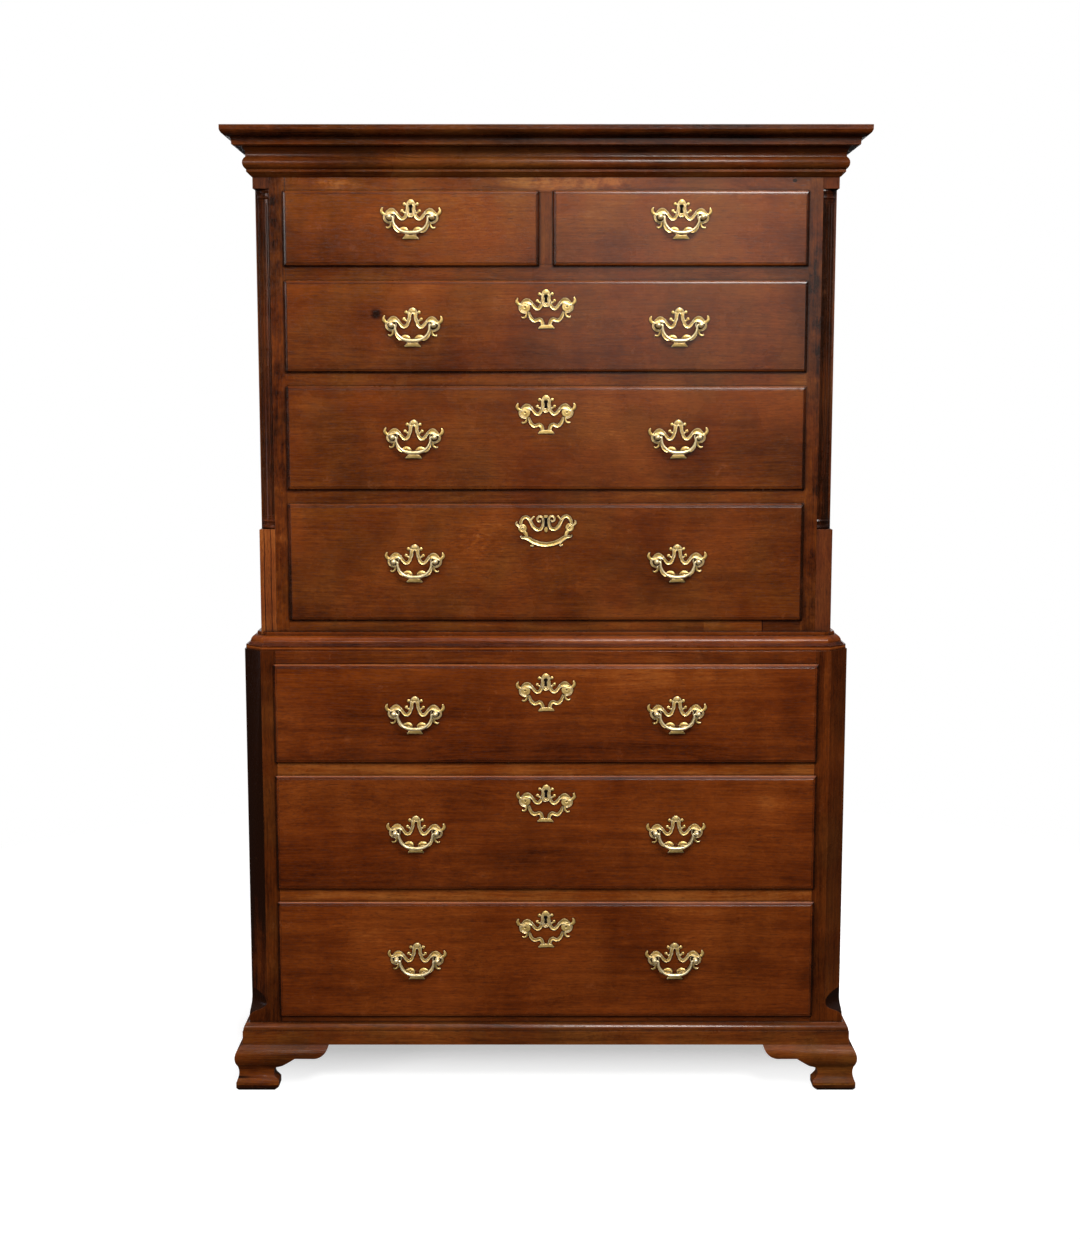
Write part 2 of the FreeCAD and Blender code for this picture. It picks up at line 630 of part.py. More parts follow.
def lipped_blank(drawer):
    """A drawer front before its joints: the board, the rounded lip and the raised field."""
    x, half = drawer["middle"], drawer["half"]
    low, high = drawer["span"]
    lip_back = drawer["front"] - SEAT_GAP
    lip_face = lip_back - LIP_THICK
    wide = half - SIDE_CLEAR
    board = box((x - wide, x + wide), (lip_back, drawer["front"] + FRONT_THICK),
                (low + SEAT_GAP, high - TOP_CLEAR))
    wide = half + LIP_OVERLAP
    upright = traced(rounded_slab(low - LIP_OVERLAP, high + LIP_OVERLAP, lip_back, lip_face),
                     lambda z, y: V(x - wide, y, z)).extrude(V(2 * wide, 0, 0))
    level = plan_block(rounded_slab(x - wide, x + wide, lip_back, lip_face),
                       (low - LIP_OVERLAP, high + LIP_OVERLAP))
    inset = LIP_OVERLAP - FIELD_INSET
    wide = half + inset
    field = box((x - wide, x + wide), (lip_face - FIELD_RAISE, lip_face), (low - inset, high + inset))
    return joined([board, upright.common(level), field])


def bolt_span(drawer):
    """Where a lock's bolt lies when it is drawn back."""
    x = drawer["middle"]
    inside = drawer["front"] + FRONT_THICK - LOCK_WALL - BOLT_CLEAR
    top = drawer["span"][1] - TOP_CLEAR - BOLT_CLEAR
    return ((x - BOLT_WIDTH / 2, x + BOLT_WIDTH / 2), (inside - BOLT_THICK, inside), (top - BOLT_LENGTH, top))


def lock_case(drawer):
    """Lock let into the back of a drawer front: its block, and the block with its bolt's channel."""
    x = drawer["middle"]
    top = drawer["span"][1] - TOP_CLEAR
    inside = drawer["front"] + FRONT_THICK
    block = box((x - LOCK_WIDTH / 2, x + LOCK_WIDTH / 2), (inside - LOCK_THICK, inside), (top - LOCK_HEIGHT, top))
    bx, by, bz = bolt_span(drawer)
    gap = BOLT_CLEAR
    low = top - LOCK_HEIGHT + LOCK_WALL
    channel = box((bx[0] - gap, bx[1] + gap), (by[0] - gap, by[1] + gap), (low, top))
    return block, cut_away(block, [channel, key_slot(drawer)])


def key_slot(drawer):
    x = drawer["middle"]
    height = key_height(drawer)
    wide, tall = KEY_SLOT
    depth = (drawer["front"] - FIELD_OUT - PLATE_THICK - 1, bolt_span(drawer)[1][0])
    return box((x - wide / 2, x + wide / 2), depth, (height - tall / 2, height + tall / 2))


def drawer_front(drawer):
    right, left, _, bottom = drawer_box(drawer)
    return cut_away(lipped_blank(drawer), [right, left, bottom, lock_case(drawer)[0], key_slot(drawer)])


# ---- brasses ----
def plate(x, z, front, keyed):
    """Pierced rococo plate: cartouche, scrolled arms, bosses with horns, curls and a spreading foot."""
    right = [(0, 31), (12.5, 23.5), (9.5, 17.5), (17.5, 11), (13, 3), (20, -0.5), (34, 15.5), (46, 9),
             (53, 16.5), (49, -4), (38.5, -11), (43, -18), (31, -18), (21, -27), (9.5, -25), (14.5, -38)]
    pierced = [(0, 1.5), (17, -6), (28, -1), (27, -13), (4.5, -18)]
    keyhole = [(0, 20.5), (2.8, 17.5), (2.2, 8)]
    back = front - FIELD_OUT
    solids = []
    for half in (right, pierced) + ((keyhole,) if keyed else ()):
        left = [(-u, w) for u, w in reversed(half) if u > 0]
        face = traced(half + left, lambda u, w: V(x + u, back, z + w))
        solids.append(face.extrude(V(0, -PLATE_THICK, 0)))
    return cut_away(solids[0], solids[1:])


def post(x, z, front):
    """Ball-headed post with its eye for the bail."""
    face = front - FIELD_OUT - PLATE_THICK
    turning = [(0, COLLAR_RADIUS), (4, 3.2), (POST_AXIS_OUT - 2.6, BALL_RADIUS), (POST_TIP_OUT, 4.0)]
    head = faceted([ring(V(x, face - out, z), radius, V(1, 0, 0), V(0, 0, 1), BRASS_SIDES)
                    for out, radius in turning])
    reach = BALL_RADIUS + 1
    half = PIN_RADIUS + PIN_CLEAR
    axis_y = face - POST_AXIS_OUT
    eye = box((x - reach, x + reach), (axis_y - half, axis_y + half), (z - half, z + half))
    return cut_away(head.removeSplitter(), [eye])


def drawer_brasses(drawer):
    front = drawer["front"]
    solids = [lock_case(drawer)[1]]
    if drawer["long"]:
        solids.append(plate(drawer["middle"], key_height(drawer) - KEY_ABOVE_POSTS, front, True))
    for _, x, z in handles(drawer):
        solids += [plate(x, z, front, not drawer["long"]), post(x - POST_HALF, z, front), post(x + POST_HALF, z, front)]
    return solids


def bail(x, z, front):
    """Swinging bail: straight legs turned out into the posts, and a grip that swells to its middle."""
    axis_y = front - FIELD_OUT - PLATE_THICK - POST_AXIS_OUT
    leg_out = POST_HALF - BALL_RADIUS - BAIL_CLEAR
    drop = BAIL_DROP
    half = [(leg_out + PIN_REACH, 0, PIN_RADIUS), (leg_out + 0.2, 0, PIN_RADIUS), (leg_out - 1.8, -1.5, 2.0),
            (leg_out - 2.5, -0.5 * drop, 1.9), (0.62 * leg_out, -0.87 * drop, 2.3), (0, -drop, 2.9)]
    stations = half + [(-u, w, r) for u, w, r in reversed(half[:-1])]
    rings = []
    for i, (u, w, radius) in enumerate(stations):
        before = stations[max(i - 1, 0)]
        after = stations[min(i + 1, len(stations) - 1)]
        along = V(after[0] - before[0], 0, after[1] - before[1])
        if radius == PIN_RADIUS:
            along = V(-1, 0, 0)
        along.normalize()
        rings.append(ring(V(x + u, axis_y, z + w), radius, V(-along.z, 0, along.x), V(0, 1, 0), BRASS_SIDES))
    return faceted(rings)


# ---- the whole piece ----
def build():
    os.makedirs("parts", exist_ok=True)
    drawers = drawer_list()
    upper = [d for d in drawers if d["front"] == UPPER_FRONT]
    lower = [d for d in drawers if d["front"] == LOWER_FRONT]
    lower_backs = back_boards(LOWER_HALF, FOOT_HEIGHT, LOWER_TOP, LOWER_BACK_BOARDS)
    upper_backs = back_boards(UPPER_HALF, LOWER_TOP, UPPER_TOP, UPPER_BACK_BOARDS)
    save("back_boards", lower_backs + upper_backs)
    save("lower_case_sides", case_side(LOWER_HALF, LOWER_FRONT + FRAME_DEPTH, FOOT_HEIGHT, LOWER_TOP, lower_backs))
    save("upper_case_sides", case_side(UPPER_HALF, UPPER_FRONT + COLUMN_RECESS, LOWER_TOP, UPPER_TOP, upper_backs))
    save("lower_corner_posts", pair(lower_corner_post()))
    levels = [(FOOT_HEIGHT, LOWER_SPANS[0][0])] + between(LOWER_SPANS) + [(LOWER_SPANS[-1][1], LOWER_TOP)]
    rails = drawer_rails(LOWER_OPENING_HALF, LOWER_FRONT, levels)
    save("lower_drawer_rails", [cut_away(rail, bolt_mortises(lower)) for rail in rails])
    save("lower_inner_boards", lower_inner_boards())
    save("bracket_feet", bracket_feet())
    save("base_moulding", base_moulding())
    save("waist_moulding", waist_moulding())
    save("upper_front_frame", upper_front_frame(upper))
    save("upper_inner_boards", upper_inner_boards())
    save("quarter_columns", quarter_columns())
    save("corner_blocks", corner_blocks())
    save("cornice", cornice())
    for drawer in drawers:
        name = drawer["name"]
        save(name + "_front", [drawer_front(drawer)])
        save(name + "_box", drawer_box(drawer))
        save(name + "_brasses", drawer_brasses(drawer))
        save(name + "_lock_bolt", [box(*bolt_span(drawer))])
        for bail_name, x, z in handles(drawer):
            save(name + "_" + bail_name, [bail(x, z, drawer["front"])])


if __name__ == "__main__":
    build()
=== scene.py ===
import json
import math

import bmesh
import bpy
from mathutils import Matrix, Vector

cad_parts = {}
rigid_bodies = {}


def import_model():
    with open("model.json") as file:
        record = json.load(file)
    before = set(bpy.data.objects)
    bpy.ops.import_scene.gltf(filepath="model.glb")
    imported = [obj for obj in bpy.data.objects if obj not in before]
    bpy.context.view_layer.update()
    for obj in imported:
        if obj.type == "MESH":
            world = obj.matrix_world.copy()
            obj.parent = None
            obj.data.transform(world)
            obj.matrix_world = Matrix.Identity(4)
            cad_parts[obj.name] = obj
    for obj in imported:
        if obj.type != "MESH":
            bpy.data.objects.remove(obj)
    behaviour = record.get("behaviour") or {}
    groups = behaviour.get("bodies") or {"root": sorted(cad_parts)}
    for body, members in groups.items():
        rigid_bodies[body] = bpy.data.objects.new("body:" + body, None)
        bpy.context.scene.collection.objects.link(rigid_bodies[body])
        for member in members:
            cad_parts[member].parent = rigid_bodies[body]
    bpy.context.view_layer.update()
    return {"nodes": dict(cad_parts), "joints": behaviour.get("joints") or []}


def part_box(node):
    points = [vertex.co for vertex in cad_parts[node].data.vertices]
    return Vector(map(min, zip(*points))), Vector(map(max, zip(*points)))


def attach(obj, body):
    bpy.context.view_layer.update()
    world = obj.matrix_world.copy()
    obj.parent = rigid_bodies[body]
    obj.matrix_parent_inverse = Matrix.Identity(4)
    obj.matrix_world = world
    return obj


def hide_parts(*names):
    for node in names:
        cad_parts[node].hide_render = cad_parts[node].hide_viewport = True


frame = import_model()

# Everything is in metres, in the CAD frame: X across, Y from front (-) to back (+), Z up.
MM = 0.001
NODES = frame["nodes"]
SHORT_DRAWERS = ["short_drawer_left", "short_drawer_right"]
LONG_DRAWERS = [case + "_drawer_" + number for case in ("upper", "lower") for number in "123"]
DRAWERS = SHORT_DRAWERS + LONG_DRAWERS

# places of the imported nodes
LOWER_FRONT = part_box("lower_drawer_rails")[0].y
UPPER_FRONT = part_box("upper_front_frame")[0].y
LOWER_HALF = -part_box("lower_corner_posts")[0].x
SHORT_LOW, SHORT_HIGH = [corner.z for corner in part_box("short_drawer_left_front")]
STILE_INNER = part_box("upper_drawer_1_front")[1].x
DIVIDER_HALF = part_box("short_drawer_right_front")[0].x
CORNICE_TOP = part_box("cornice")[1].z
WAIST_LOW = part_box("waist_moulding")[0].z
BASE_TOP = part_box("base_moulding")[1].z

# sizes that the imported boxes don't tell
CANT = 35.0 * MM               # width of the lower case's canted corners, each way
FOOT_IN = 8.1 * MM             # just past a foot bracket's inner face, behind the case's face
LINING = 11.5 * MM             # just past a drawer side's inner face
LIP_OVERLAP = 4.0 * MM         # a drawer's lip over the frame round its opening
RAIL_EDGE = 5.0 * MM           # just past a rail's edge, which the lip overlaps
KEYHOLE_DROP = 30.0 * MM       # keyhole, below the opening's top
KEY_ABOVE_POSTS = 14.0 * MM    # keyhole, above the line of a plate's bosses
POST_HALF = 38.5 * MM          # half the way between a bail's two posts
POST_AXIS_OUT = 11.0 * MM      # bail's axis in front of the plate
PLATE_THICK = 1.5 * MM


# ---- node helpers ----
EDGE_COSINES = (0.99, 0.86)    # between a face and its softened normal: flat, and a sharp edge


class Shader:
    """A material's node tree with short calls for the nodes used here."""

    def __init__(self, name):
        self.material = bpy.data.materials.new(name)
        self.material.use_nodes = True
        self.tree = self.material.node_tree
        self.tree.nodes.clear()
        out = self.node("OutputMaterial")
        self.bsdf = self.node("BsdfPrincipled")
        self.link(self.bsdf.outputs["BSDF"], out.inputs["Surface"])

    def node(self, kind):
        return self.tree.nodes.new("ShaderNode" + kind)

    def link(self, a, b):
        self.tree.links.new(a, b)

    def put(self, socket, value):
        """Links a socket, or sets a number or an opaque colour."""
        if isinstance(value, bpy.types.NodeSocket):
            self.link(value, socket)
        else:
            socket.default_value = (*value, 1.0) if isinstance(value, tuple) else value

    def fill(self, node, **values):
        """Sets or links a node's inputs; a name's underscores stand for spaces."""
        for name, value in values.items():
            self.put(node.inputs[name.replace("_", " ")], value)

    def surface(self, **values):
        """Sets or links inputs of the material's own shader."""
        self.fill(self.bsdf, **values)

    def math(self, op, a, b=0.0):
        node = self.node("Math")
        node.operation = op
        self.put(node.inputs[0], a)
        self.put(node.inputs[1], b)
        return node.outputs[0]

    def plus(self, a, b):
        return self.math("ADD", a, b)

    def minus(self, a, b):
        return self.math("SUBTRACT", a, b)

    def times(self, a, b):
        return self.math("MULTIPLY", a, b)

    def absolute(self, value):
        return self.math("ABSOLUTE", value)

    def above(self, value, level):
        """1 where value is more than level, else 0."""
        return self.math("GREATER_THAN", value, level)

    def below(self, value, level):
        """1 where value is less than level, else 0."""
        return self.math("LESS_THAN", value, level)

    def tint(self, value, mask, change):
        """value with change added where mask is 1."""
        return self.plus(value, self.times(mask, change))

    def blend(self, fac, a, b):
        """a where fac is 0, b where it is 1."""
        return self.plus(a, self.times(fac, self.minus(b, a)))

    def offset(self, value, share, base):
        """base plus share of how far value is from a half; either may be a socket."""
        return self.plus(self.times(self.minus(value, 0.5), share), base)

    def span(self, value, low, high, to_low=0.0, to_high=1.0):
        """to_low up to low, to_high from high on, and even between."""
        node = self.node("MapRange")
        node.clamp = True
        self.fill(node, Value=value, From_Min=low, From_Max=high, To_Min=to_low, To_Max=to_high)
        return node.outputs["Result"]

    def near(self, coordinate, centre, reach, soft):
        """1 within reach of centre, falling to 0 over soft."""
        return self.span(self.absolute(self.minus(coordinate, centre)), reach, reach + soft, 1.0, 0.0)

    def mix(self, fac, a, b):
        """Colour a where fac is 0, b where it is 1."""
        node = self.node("Mix")
        node.data_type = "RGBA"
        for place, value in ((0, fac), (6, a), (7, b)):
            self.put(node.inputs[place], value)
        return node.outputs[2]

    def ramp(self, fac, stops):
        node = self.node("ValToRGB")
        elements = node.color_ramp.elements
        while len(elements) < len(stops):
            elements.new(0.5)
        for element, (place, colour) in zip(elements, stops):
            element.position = place
            element.color = (*colour, 1.0)
        self.put(node.inputs[0], fac)
        return node.outputs["Color"]

    def place(self):
        return self.node("TexCoord").outputs["Object"]

    def split(self, vector):
        node = self.node("SeparateXYZ")
        self.put(node.inputs[0], vector)
        return node.outputs

    def axis(self, letter):
        """One coordinate of the shaded point."""
        return self.split(self.place())[letter]

    def merge(self, x, y, z):
        node = self.node("CombineXYZ")
        for socket, value in zip(node.inputs, (x, y, z)):
            self.put(socket, value)
        return node.outputs[0]

    def noise(self, vector, scale=1.0, detail=3.0, rough=0.55, distort=0.0):
        node = self.node("TexNoise")
        self.fill(node, Vector=vector, Scale=scale, Detail=detail, Roughness=rough, Distortion=distort)
        return node.outputs["Fac"]

    def cloud(self, scale, detail, rough=0.55):
        """Noise that is the same in every direction."""
        return self.noise(self.place(), scale, detail, rough)

    def edges(self, radius):
        """1 on sharp outer edges, 0 on flat faces."""
        bevel = self.node("Bevel")
        bevel.samples = 4
        self.fill(bevel, Radius=radius)
        dot = self.node("VectorMath")
        dot.operation = "DOT_PRODUCT"
        self.link(bevel.outputs[0], dot.inputs[0])
        self.link(self.node("NewGeometry").outputs["Normal"], dot.inputs[1])
        return self.span(dot.outputs["Value"], *EDGE_COSINES)

    def crevice(self, distance):
        """1 in the open, falling towards 0 in corners and under edges."""
        node = self.node("AmbientOcclusion")
        node.samples = 6
        self.fill(node, Distance=distance)
        return node.outputs["AO"]

    def bump(self, height, strength, distance):
        node = self.node("Bump")
        self.fill(node, Strength=strength, Distance=distance, Height=height)
        self.surface(Normal=node.outputs["Normal"])


# ---- wood ----
# ramps from dark to light, as (place, colour)
MAHOGANY = [(0.0, (0.011, 0.0026, 0.0006)), (0.10, (0.030, 0.0046, 0.0007)), (0.36, (0.088, 0.015, 0.0016)),
            (0.60, (0.150, 0.029, 0.0032)), (0.88, (0.250, 0.064, 0.010))]
UMBER = [(0.0, (0.010, 0.003, 0.0008)), (0.10, (0.024, 0.007, 0.0016)), (0.36, (0.072, 0.023, 0.004)),
         (0.60, (0.126, 0.045, 0.0075)), (0.88, (0.226, 0.100, 0.022))]
OAK = [(0.22, (0.10, 0.048, 0.020)), (0.45, (0.21, 0.115, 0.052)), (0.68, (0.33, 0.205, 0.105))]

PORE = (0.013, 0.003, 0.001)
SCUFF = (0.26, 0.085, 0.030)
# worn arrises, paler also as a painted highlight along them
WORN_AND_HIGHLIGHT = (0.28, 0.085, 0.028)
# grime, and painted shade, for corners and under edges
GRIME_AND_SHADE = (0.008, 0.0022, 0.0008)
OAK_PORE = (0.06, 0.03, 0.015)
# grime, and painted shade, in the oak's corners
OAK_GRIME_AND_SHADE = (0.04, 0.022, 0.012)

# patterns of the grain: cells per metre along and across it, detail, roughness
BOARDS = (0.8, 5.0, 2.0)
STREAKS = (2.6, 60.0, 5.0, 0.62)
FIBRES = (11.0, 420.0, 2.0, 0.6)
SPECKLE = (90.0, 260.0, 2.0, 0.7)
ROLL = (22.0, 5.0, 2.0)
FLECKS = (60.0, 1500.0, 1.0)
OAK_STREAKS = (1.8, 38.0, 4.0, 0.65)
OAK_FIBRES = (8.0, 420.0, 2.0)
OAK_FLECKS = (34.0, 900.0, 1.0)

# patterns that don't follow the grain: cells per metre, detail, roughness
MOTTLE = (6.0, 5.0, 0.62)
FADING = (9.0, 4.0, 0.6)
SCUFFS = (24.0, 7.0, 0.72)
OAK_STAINS = (5.0, 5.0, 0.6)
STILE_PATCHES = (34.0, 5.0, 0.7)
FRIEZE_WEAR = (38.0, 5.0, 0.7)
PAD_CHIPS = (45.0, 4.0, 0.7)

GRAIN_STEP = 3.17              # metres between two seeds' cuts through the same grain
BEND_CELLS = (1.6, 6.0, 2.0)   # the grain's slow bend, a pattern like its others
BEND = 0.06                    # how far it bends, in metres


def stretched(s, g, along, across, detail=3.0, rough=0.55):
    """Noise drawn out along the grain of frame g."""
    cells = s.merge(s.times(g[0], along), s.times(g[1], across), s.times(g[2], across))
    return s.noise(cells, detail=detail, rough=rough)


def grain_frame(s, grain, seed, turned):
    """Coordinates with their first axis along the grain, bent a little as in real boards."""
    x, y, z = s.split(s.place())
    axes = {"X": (x, y, z), "Y": (y, x, z), "Z": (z, y, x)}
    frame_axes = axes[grain]
    if turned:
        other, mask = turned(s)
        frame_axes = [s.blend(mask, a, b) for a, b in zip(frame_axes, axes[other])]
    shift = seed * GRAIN_STEP
    along, one, two = [s.plus(a, part * shift) for a, part in zip(frame_axes, (1.0, 0.7, 1.3))]
    bend = s.offset(stretched(s, (along, one, two), *BEND_CELLS), BEND, 0.0)
    return along, s.plus(one, bend), s.plus(two, bend)


def mahogany(name, grain, seed, tone, aged, coat=0.30, dull=0.0, streak=0.5, turned=None, special=()):
    """Old waxed mahogany. tone makes it lighter or darker, aged turns it from red to brown, coat is its
    polish and dull takes that away. turned tells where the grain turns, special changes places of its own."""
    s = Shader(name)
    g = grain_frame(s, grain, seed, turned)
    fibres = stretched(s, g, *FIBRES)
    mottle = s.cloud(*MOTTLE)
    value = s.offset(stretched(s, g, *BOARDS), 0.55, 0.5 + tone)
    for layer, share in ((stretched(s, g, *STREAKS), streak), (fibres, 0.40),
                         (stretched(s, g, *SPECKLE), 0.30), (mottle, 0.74), (stretched(s, g, *ROLL), 0.16)):
        value = s.offset(layer, share, value)
    for change in special:
        value = change(s, value)

    faded = s.span(s.cloud(*FADING), 0.40, 0.62, aged * 0.4, aged)
    colour = s.mix(faded, s.ramp(value, MAHOGANY), s.ramp(value, UMBER))
    pores = s.span(stretched(s, g, *FLECKS), 0.58, 0.70)
    scuffs = s.span(s.cloud(*SCUFFS), 0.63, 0.80)
    # paler arrises: wear, and a painted highlight along them
    worn = s.times(s.edges(1.5 * MM), s.span(mottle, 0.40, 0.62, 0.1, 1.0))
    for mask, share, stain in ((pores, 0.6, PORE), (scuffs, 0.25, SCUFF), (worn, 0.40, WORN_AND_HIGHLIGHT)):
        colour = s.mix(s.times(mask, share), colour, stain)
    # darker in corners, under edges and round the brasses: grime, and painted shade
    corners, cracks = s.span(s.crevice(18.0 * MM), 0.34, 0.95), s.span(s.crevice(4.5 * MM), 0.52, 0.96)
    colour = s.mix(s.math("MINIMUM", corners, cracks), GRIME_AND_SHADE, colour)

    wear = s.tint(s.tint(s.offset(mottle, 0.26, 0.27 + dull), pores, 0.18), scuffs, 0.10)
    s.surface(Base_Color=colour, Roughness=s.math("MINIMUM", wear, 0.9), Specular_IOR_Level=0.13,
              Coat_Weight=coat, Coat_Roughness=0.17)
    height = s.minus(s.times(fibres, 0.5), s.times(pores, 0.8))
    s.bump(s.tint(height, mottle, 0.9), 0.35, 0.4 * MM)
    return s.material


def oak(name, seed, tone, turned=None):
    """Dry unpolished secondary wood: drawer linings, dust boards and back boards."""
    s = Shader(name)
    g = grain_frame(s, "X", seed, turned)
    fibres = stretched(s, g, *OAK_FIBRES)
    stains = s.cloud(*OAK_STAINS)
    value = s.plus(s.times(stretched(s, g, *OAK_STREAKS), 0.55), s.times(fibres, 0.3))
    value = s.offset(stains, 0.5, s.plus(value, tone))
    pores = s.span(stretched(s, g, *OAK_FLECKS), 0.60, 0.72)
    colour = s.mix(s.times(pores, 0.5), s.ramp(value, OAK), OAK_PORE)
    # darker in corners and under edges: grime, and painted shade
    unshaded_clean = s.span(s.crevice(30.0 * MM), 0.2, 0.95)
    s.surface(Base_Color=s.mix(unshaded_clean, OAK_GRIME_AND_SHADE, colour), Roughness=s.span(stains, 0.3, 0.7, 0.62, 0.82),
              Specular_IOR_Level=0.3)
    s.bump(s.minus(fibres, pores), 0.5, 0.5 * MM)
    return s.material


# ---- metals, and the painted shade inside a keyhole ----
# brass at three places of its clouding, from dull to bright
BRASS_PLACES = (0.32, 0.52, 0.72)
OLD_BRASS = [(0.52, 0.325, 0.088), (0.73, 0.495, 0.16), (0.93, 0.72, 0.34)]
RUBBED_BRASS = [(0.80, 0.63, 0.31), (0.92, 0.77, 0.45), (0.98, 0.87, 0.58)]
# the sunken middle of a handle's boss: tarnish, and painted shade
TARNISH_AND_SHADE = [(0.030, 0.016, 0.006), (0.050, 0.028, 0.009), (0.090, 0.050, 0.016)]
BRASS_GRIME = (0.075, 0.042, 0.010)
# pale rims: a painted highlight, and brass rubbed bright
BRASS_EDGE_HIGHLIGHT = (1.0, 0.90, 0.68)
IRON = [(0.35, (0.035, 0.032, 0.030)), (0.62, (0.085, 0.072, 0.062)), (0.75, (0.16, 0.075, 0.035))]
# painted shade inside a keyhole
KEYHOLE_SHADE = [(0.3, (0.004, 0.003, 0.003)), (0.8, (0.012, 0.008, 0.006))]

# cells per metre, detail, roughness
BRASS_CLOUD = (90.0, 4.0, 0.6)
BRASS_SPECKS = (900.0, 2.0)
RUST = (120.0, 5.0, 0.65)
KEYHOLE_DUST = (400.0, 3.0)


def brass(name, colours, groove, rough, metal=0.85):
    """Old brass: a painted highlight along its sharp edges, where hands also rub it bright, and all brown
    where it is less open to the air than groove.
    """
    s = Shader(name)
    cloud = s.cloud(*BRASS_CLOUD)
    speck = s.cloud(*BRASS_SPECKS)
    open_air = s.span(s.crevice(3.0 * MM), groove, 0.97)
    colour = s.mix(open_air, BRASS_GRIME, s.ramp(cloud, list(zip(BRASS_PLACES, colours))))
    # rubbed: sharp edges paler, as wear and as a painted highlight
    rubbed = s.times(s.edges(1.3 * MM), open_air)
    worn = s.span(s.plus(s.times(cloud, 0.7), s.times(speck, 0.3)), 0.3, 0.7, rough, rough + 0.16)
    s.surface(Base_Color=s.mix(s.times(rubbed, 0.9), colour, BRASS_EDGE_HIGHLIGHT), Metallic=metal,
              Roughness=s.plus(worn, s.span(open_air, 0.0, 1.0, 0.25, 0.0)))
    s.bump(s.tint(cloud, speck, 0.5), 0.25, 0.3 * MM)
    return s.material


def iron(name):
    """Rusty iron of the locks' bolts."""
    s = Shader(name)
    rust = s.cloud(*RUST)
    s.surface(Base_Color=s.ramp(rust, IRON), Roughness=s.span(rust, 0.4, 0.75, 0.35, 0.75), Metallic=0.85)
    s.bump(rust, 0.5, 0.4 * MM)
    return s.material


def painted_keyhole_shade(name):
    """Painted shade for the inside of a keyhole."""
    s = Shader(name)
    shade_and_dust = s.ramp(s.cloud(*KEYHOLE_DUST), KEYHOLE_SHADE)
    s.surface(Base_Color=shade_and_dust, Roughness=1.0, Specular_IOR_Level=0.0)
    return s.material


# ---- where the grain turns: each rule gives the other grain and a mask ----
def returned(half, front):
    """Front to back on the side lengths of a mitred moulding or foot."""
    def rule(s):
        across = s.absolute(s.axis("X"))
        past = s.plus(s.minus(across, half), s.minus(s.axis("Y"), front))
        return "Y", s.times(s.above(past, 0.0), s.above(across, half - FOOT_IN))
    return rule


def uprights(s):
    """Upright on the stiles and on the divider between the short drawers."""
    across, z = s.absolute(s.axis("X")), s.axis("Z")
    between = s.times(s.above(z, SHORT_LOW), s.below(z, SHORT_HIGH))
    divider = s.times(s.below(across, DIVIDER_HALF), between)
    return "Z", s.math("MAXIMUM", s.above(across, STILE_INNER), divider)


def along_sides(low, high):
    """Front to back on the sides of a drawer."""
    middle, inner = (low.x + high.x) / 2, (high.x - low.x) / 2 - LINING

    def rule(s):
        return "Y", s.above(s.absolute(s.minus(s.axis("X"), middle)), inner)
    return rule


# ---- marks of age, and painted light and shade: each rule changes the wood's tone at its own places ----
# mends of the upper case's lowest rail: middle, half width, softness, change
MENDS = ((0.3490, 0.0540, 0.0006, 0.20),      # pale let-in piece
         (0.4385, 0.0345, 0.0006, -0.12),     # darker piece beside it
         (0.4035, 0.0006, 0.0005, -0.50))     # joint of the two
# pale patches of the frieze: centre (X, height over the short drawers), half sizes, change
FRIEZE_RUBS = (((0.060, 0.016), (0.17, 0.019), 0.62),
               ((-0.385, 0.013), (0.07, 0.015), 0.45))
NAIL_HOLE = ((0.450, 0.018), (0.0042, 0.0034))
# figure of two long drawers: centre (X, height over the drawer's top), half sizes
SWIRL_PALE = ((-0.115, -0.068), (0.100, 0.050))
SWIRL_DARK = ((-0.052, -0.064), (0.045, 0.030))
KNOT_HALO = ((-0.330, -0.063), (0.055, 0.024))
KNOT = ((-0.309, -0.060), (0.013, 0.012))
# painted shade over the lamb's tongue: centre (inside the case's side, height over the base moulding), half
# sizes
TONGUE = ((0.0, 0.036), (0.033, 0.021))
CRACKS = (-0.5225, -0.5105)    # X of the left plinth block's splits
# bands: middle, reach, softness
CRACK_BAND = (0.5 * MM, 0.6 * MM)
PAD_ARRIS = (12.5 * MM, 0.8 * MM, 0.9 * MM)     # over the floor
WAIST_QUIRK_SHADE = (9.4 * MM, 2.8 * MM, 1.2 * MM)    # painted shade, over the foot of the waist moulding
# painted highlight, over the foot of the waist moulding
WAIST_ARRIS_HIGHLIGHT = (4.6 * MM, 0.5 * MM, 0.6 * MM)
LIP_SHADE_LINE = (-4.9 * MM, 2.2 * MM, 0.8 * MM)      # painted shade line, over the top of a drawer front
# heights where a tone starts to change, and is done
PAD_TOP = (9.5 * MM, 11.5 * MM)
CROWN_FOOT = (-26.0 * MM, -22.0 * MM)    # over the top of the cornice
LIP_ARRIS_HIGHLIGHT = (-2.0 * MM, -1.2 * MM)       # painted highlight, over the top of a drawer front
# width of the painted shade on a drawer's lip, and how pale the painted highlight on its top arris is
LOWER_LIP, UPPER_LIP = (4.0 * MM, 0.38), (5.6 * MM, 0.10)
LIP_SOFT = 0.5 * MM
RIGHT_END = 80.0 * MM          # the drawers' shaded right ends


def spot(s, x, z, centre, size, soft):
    """1 inside an oval of half sizes size, falling to 0 over its outer share soft."""
    u, w = [s.math("DIVIDE", s.minus(a, middle), half) for a, middle, half in zip((x, z), centre, size)]
    away = s.math("SQRT", s.plus(s.times(u, u), s.times(w, w)))
    return s.span(away, 1.0 - soft, 1.0, 1.0, 0.0)


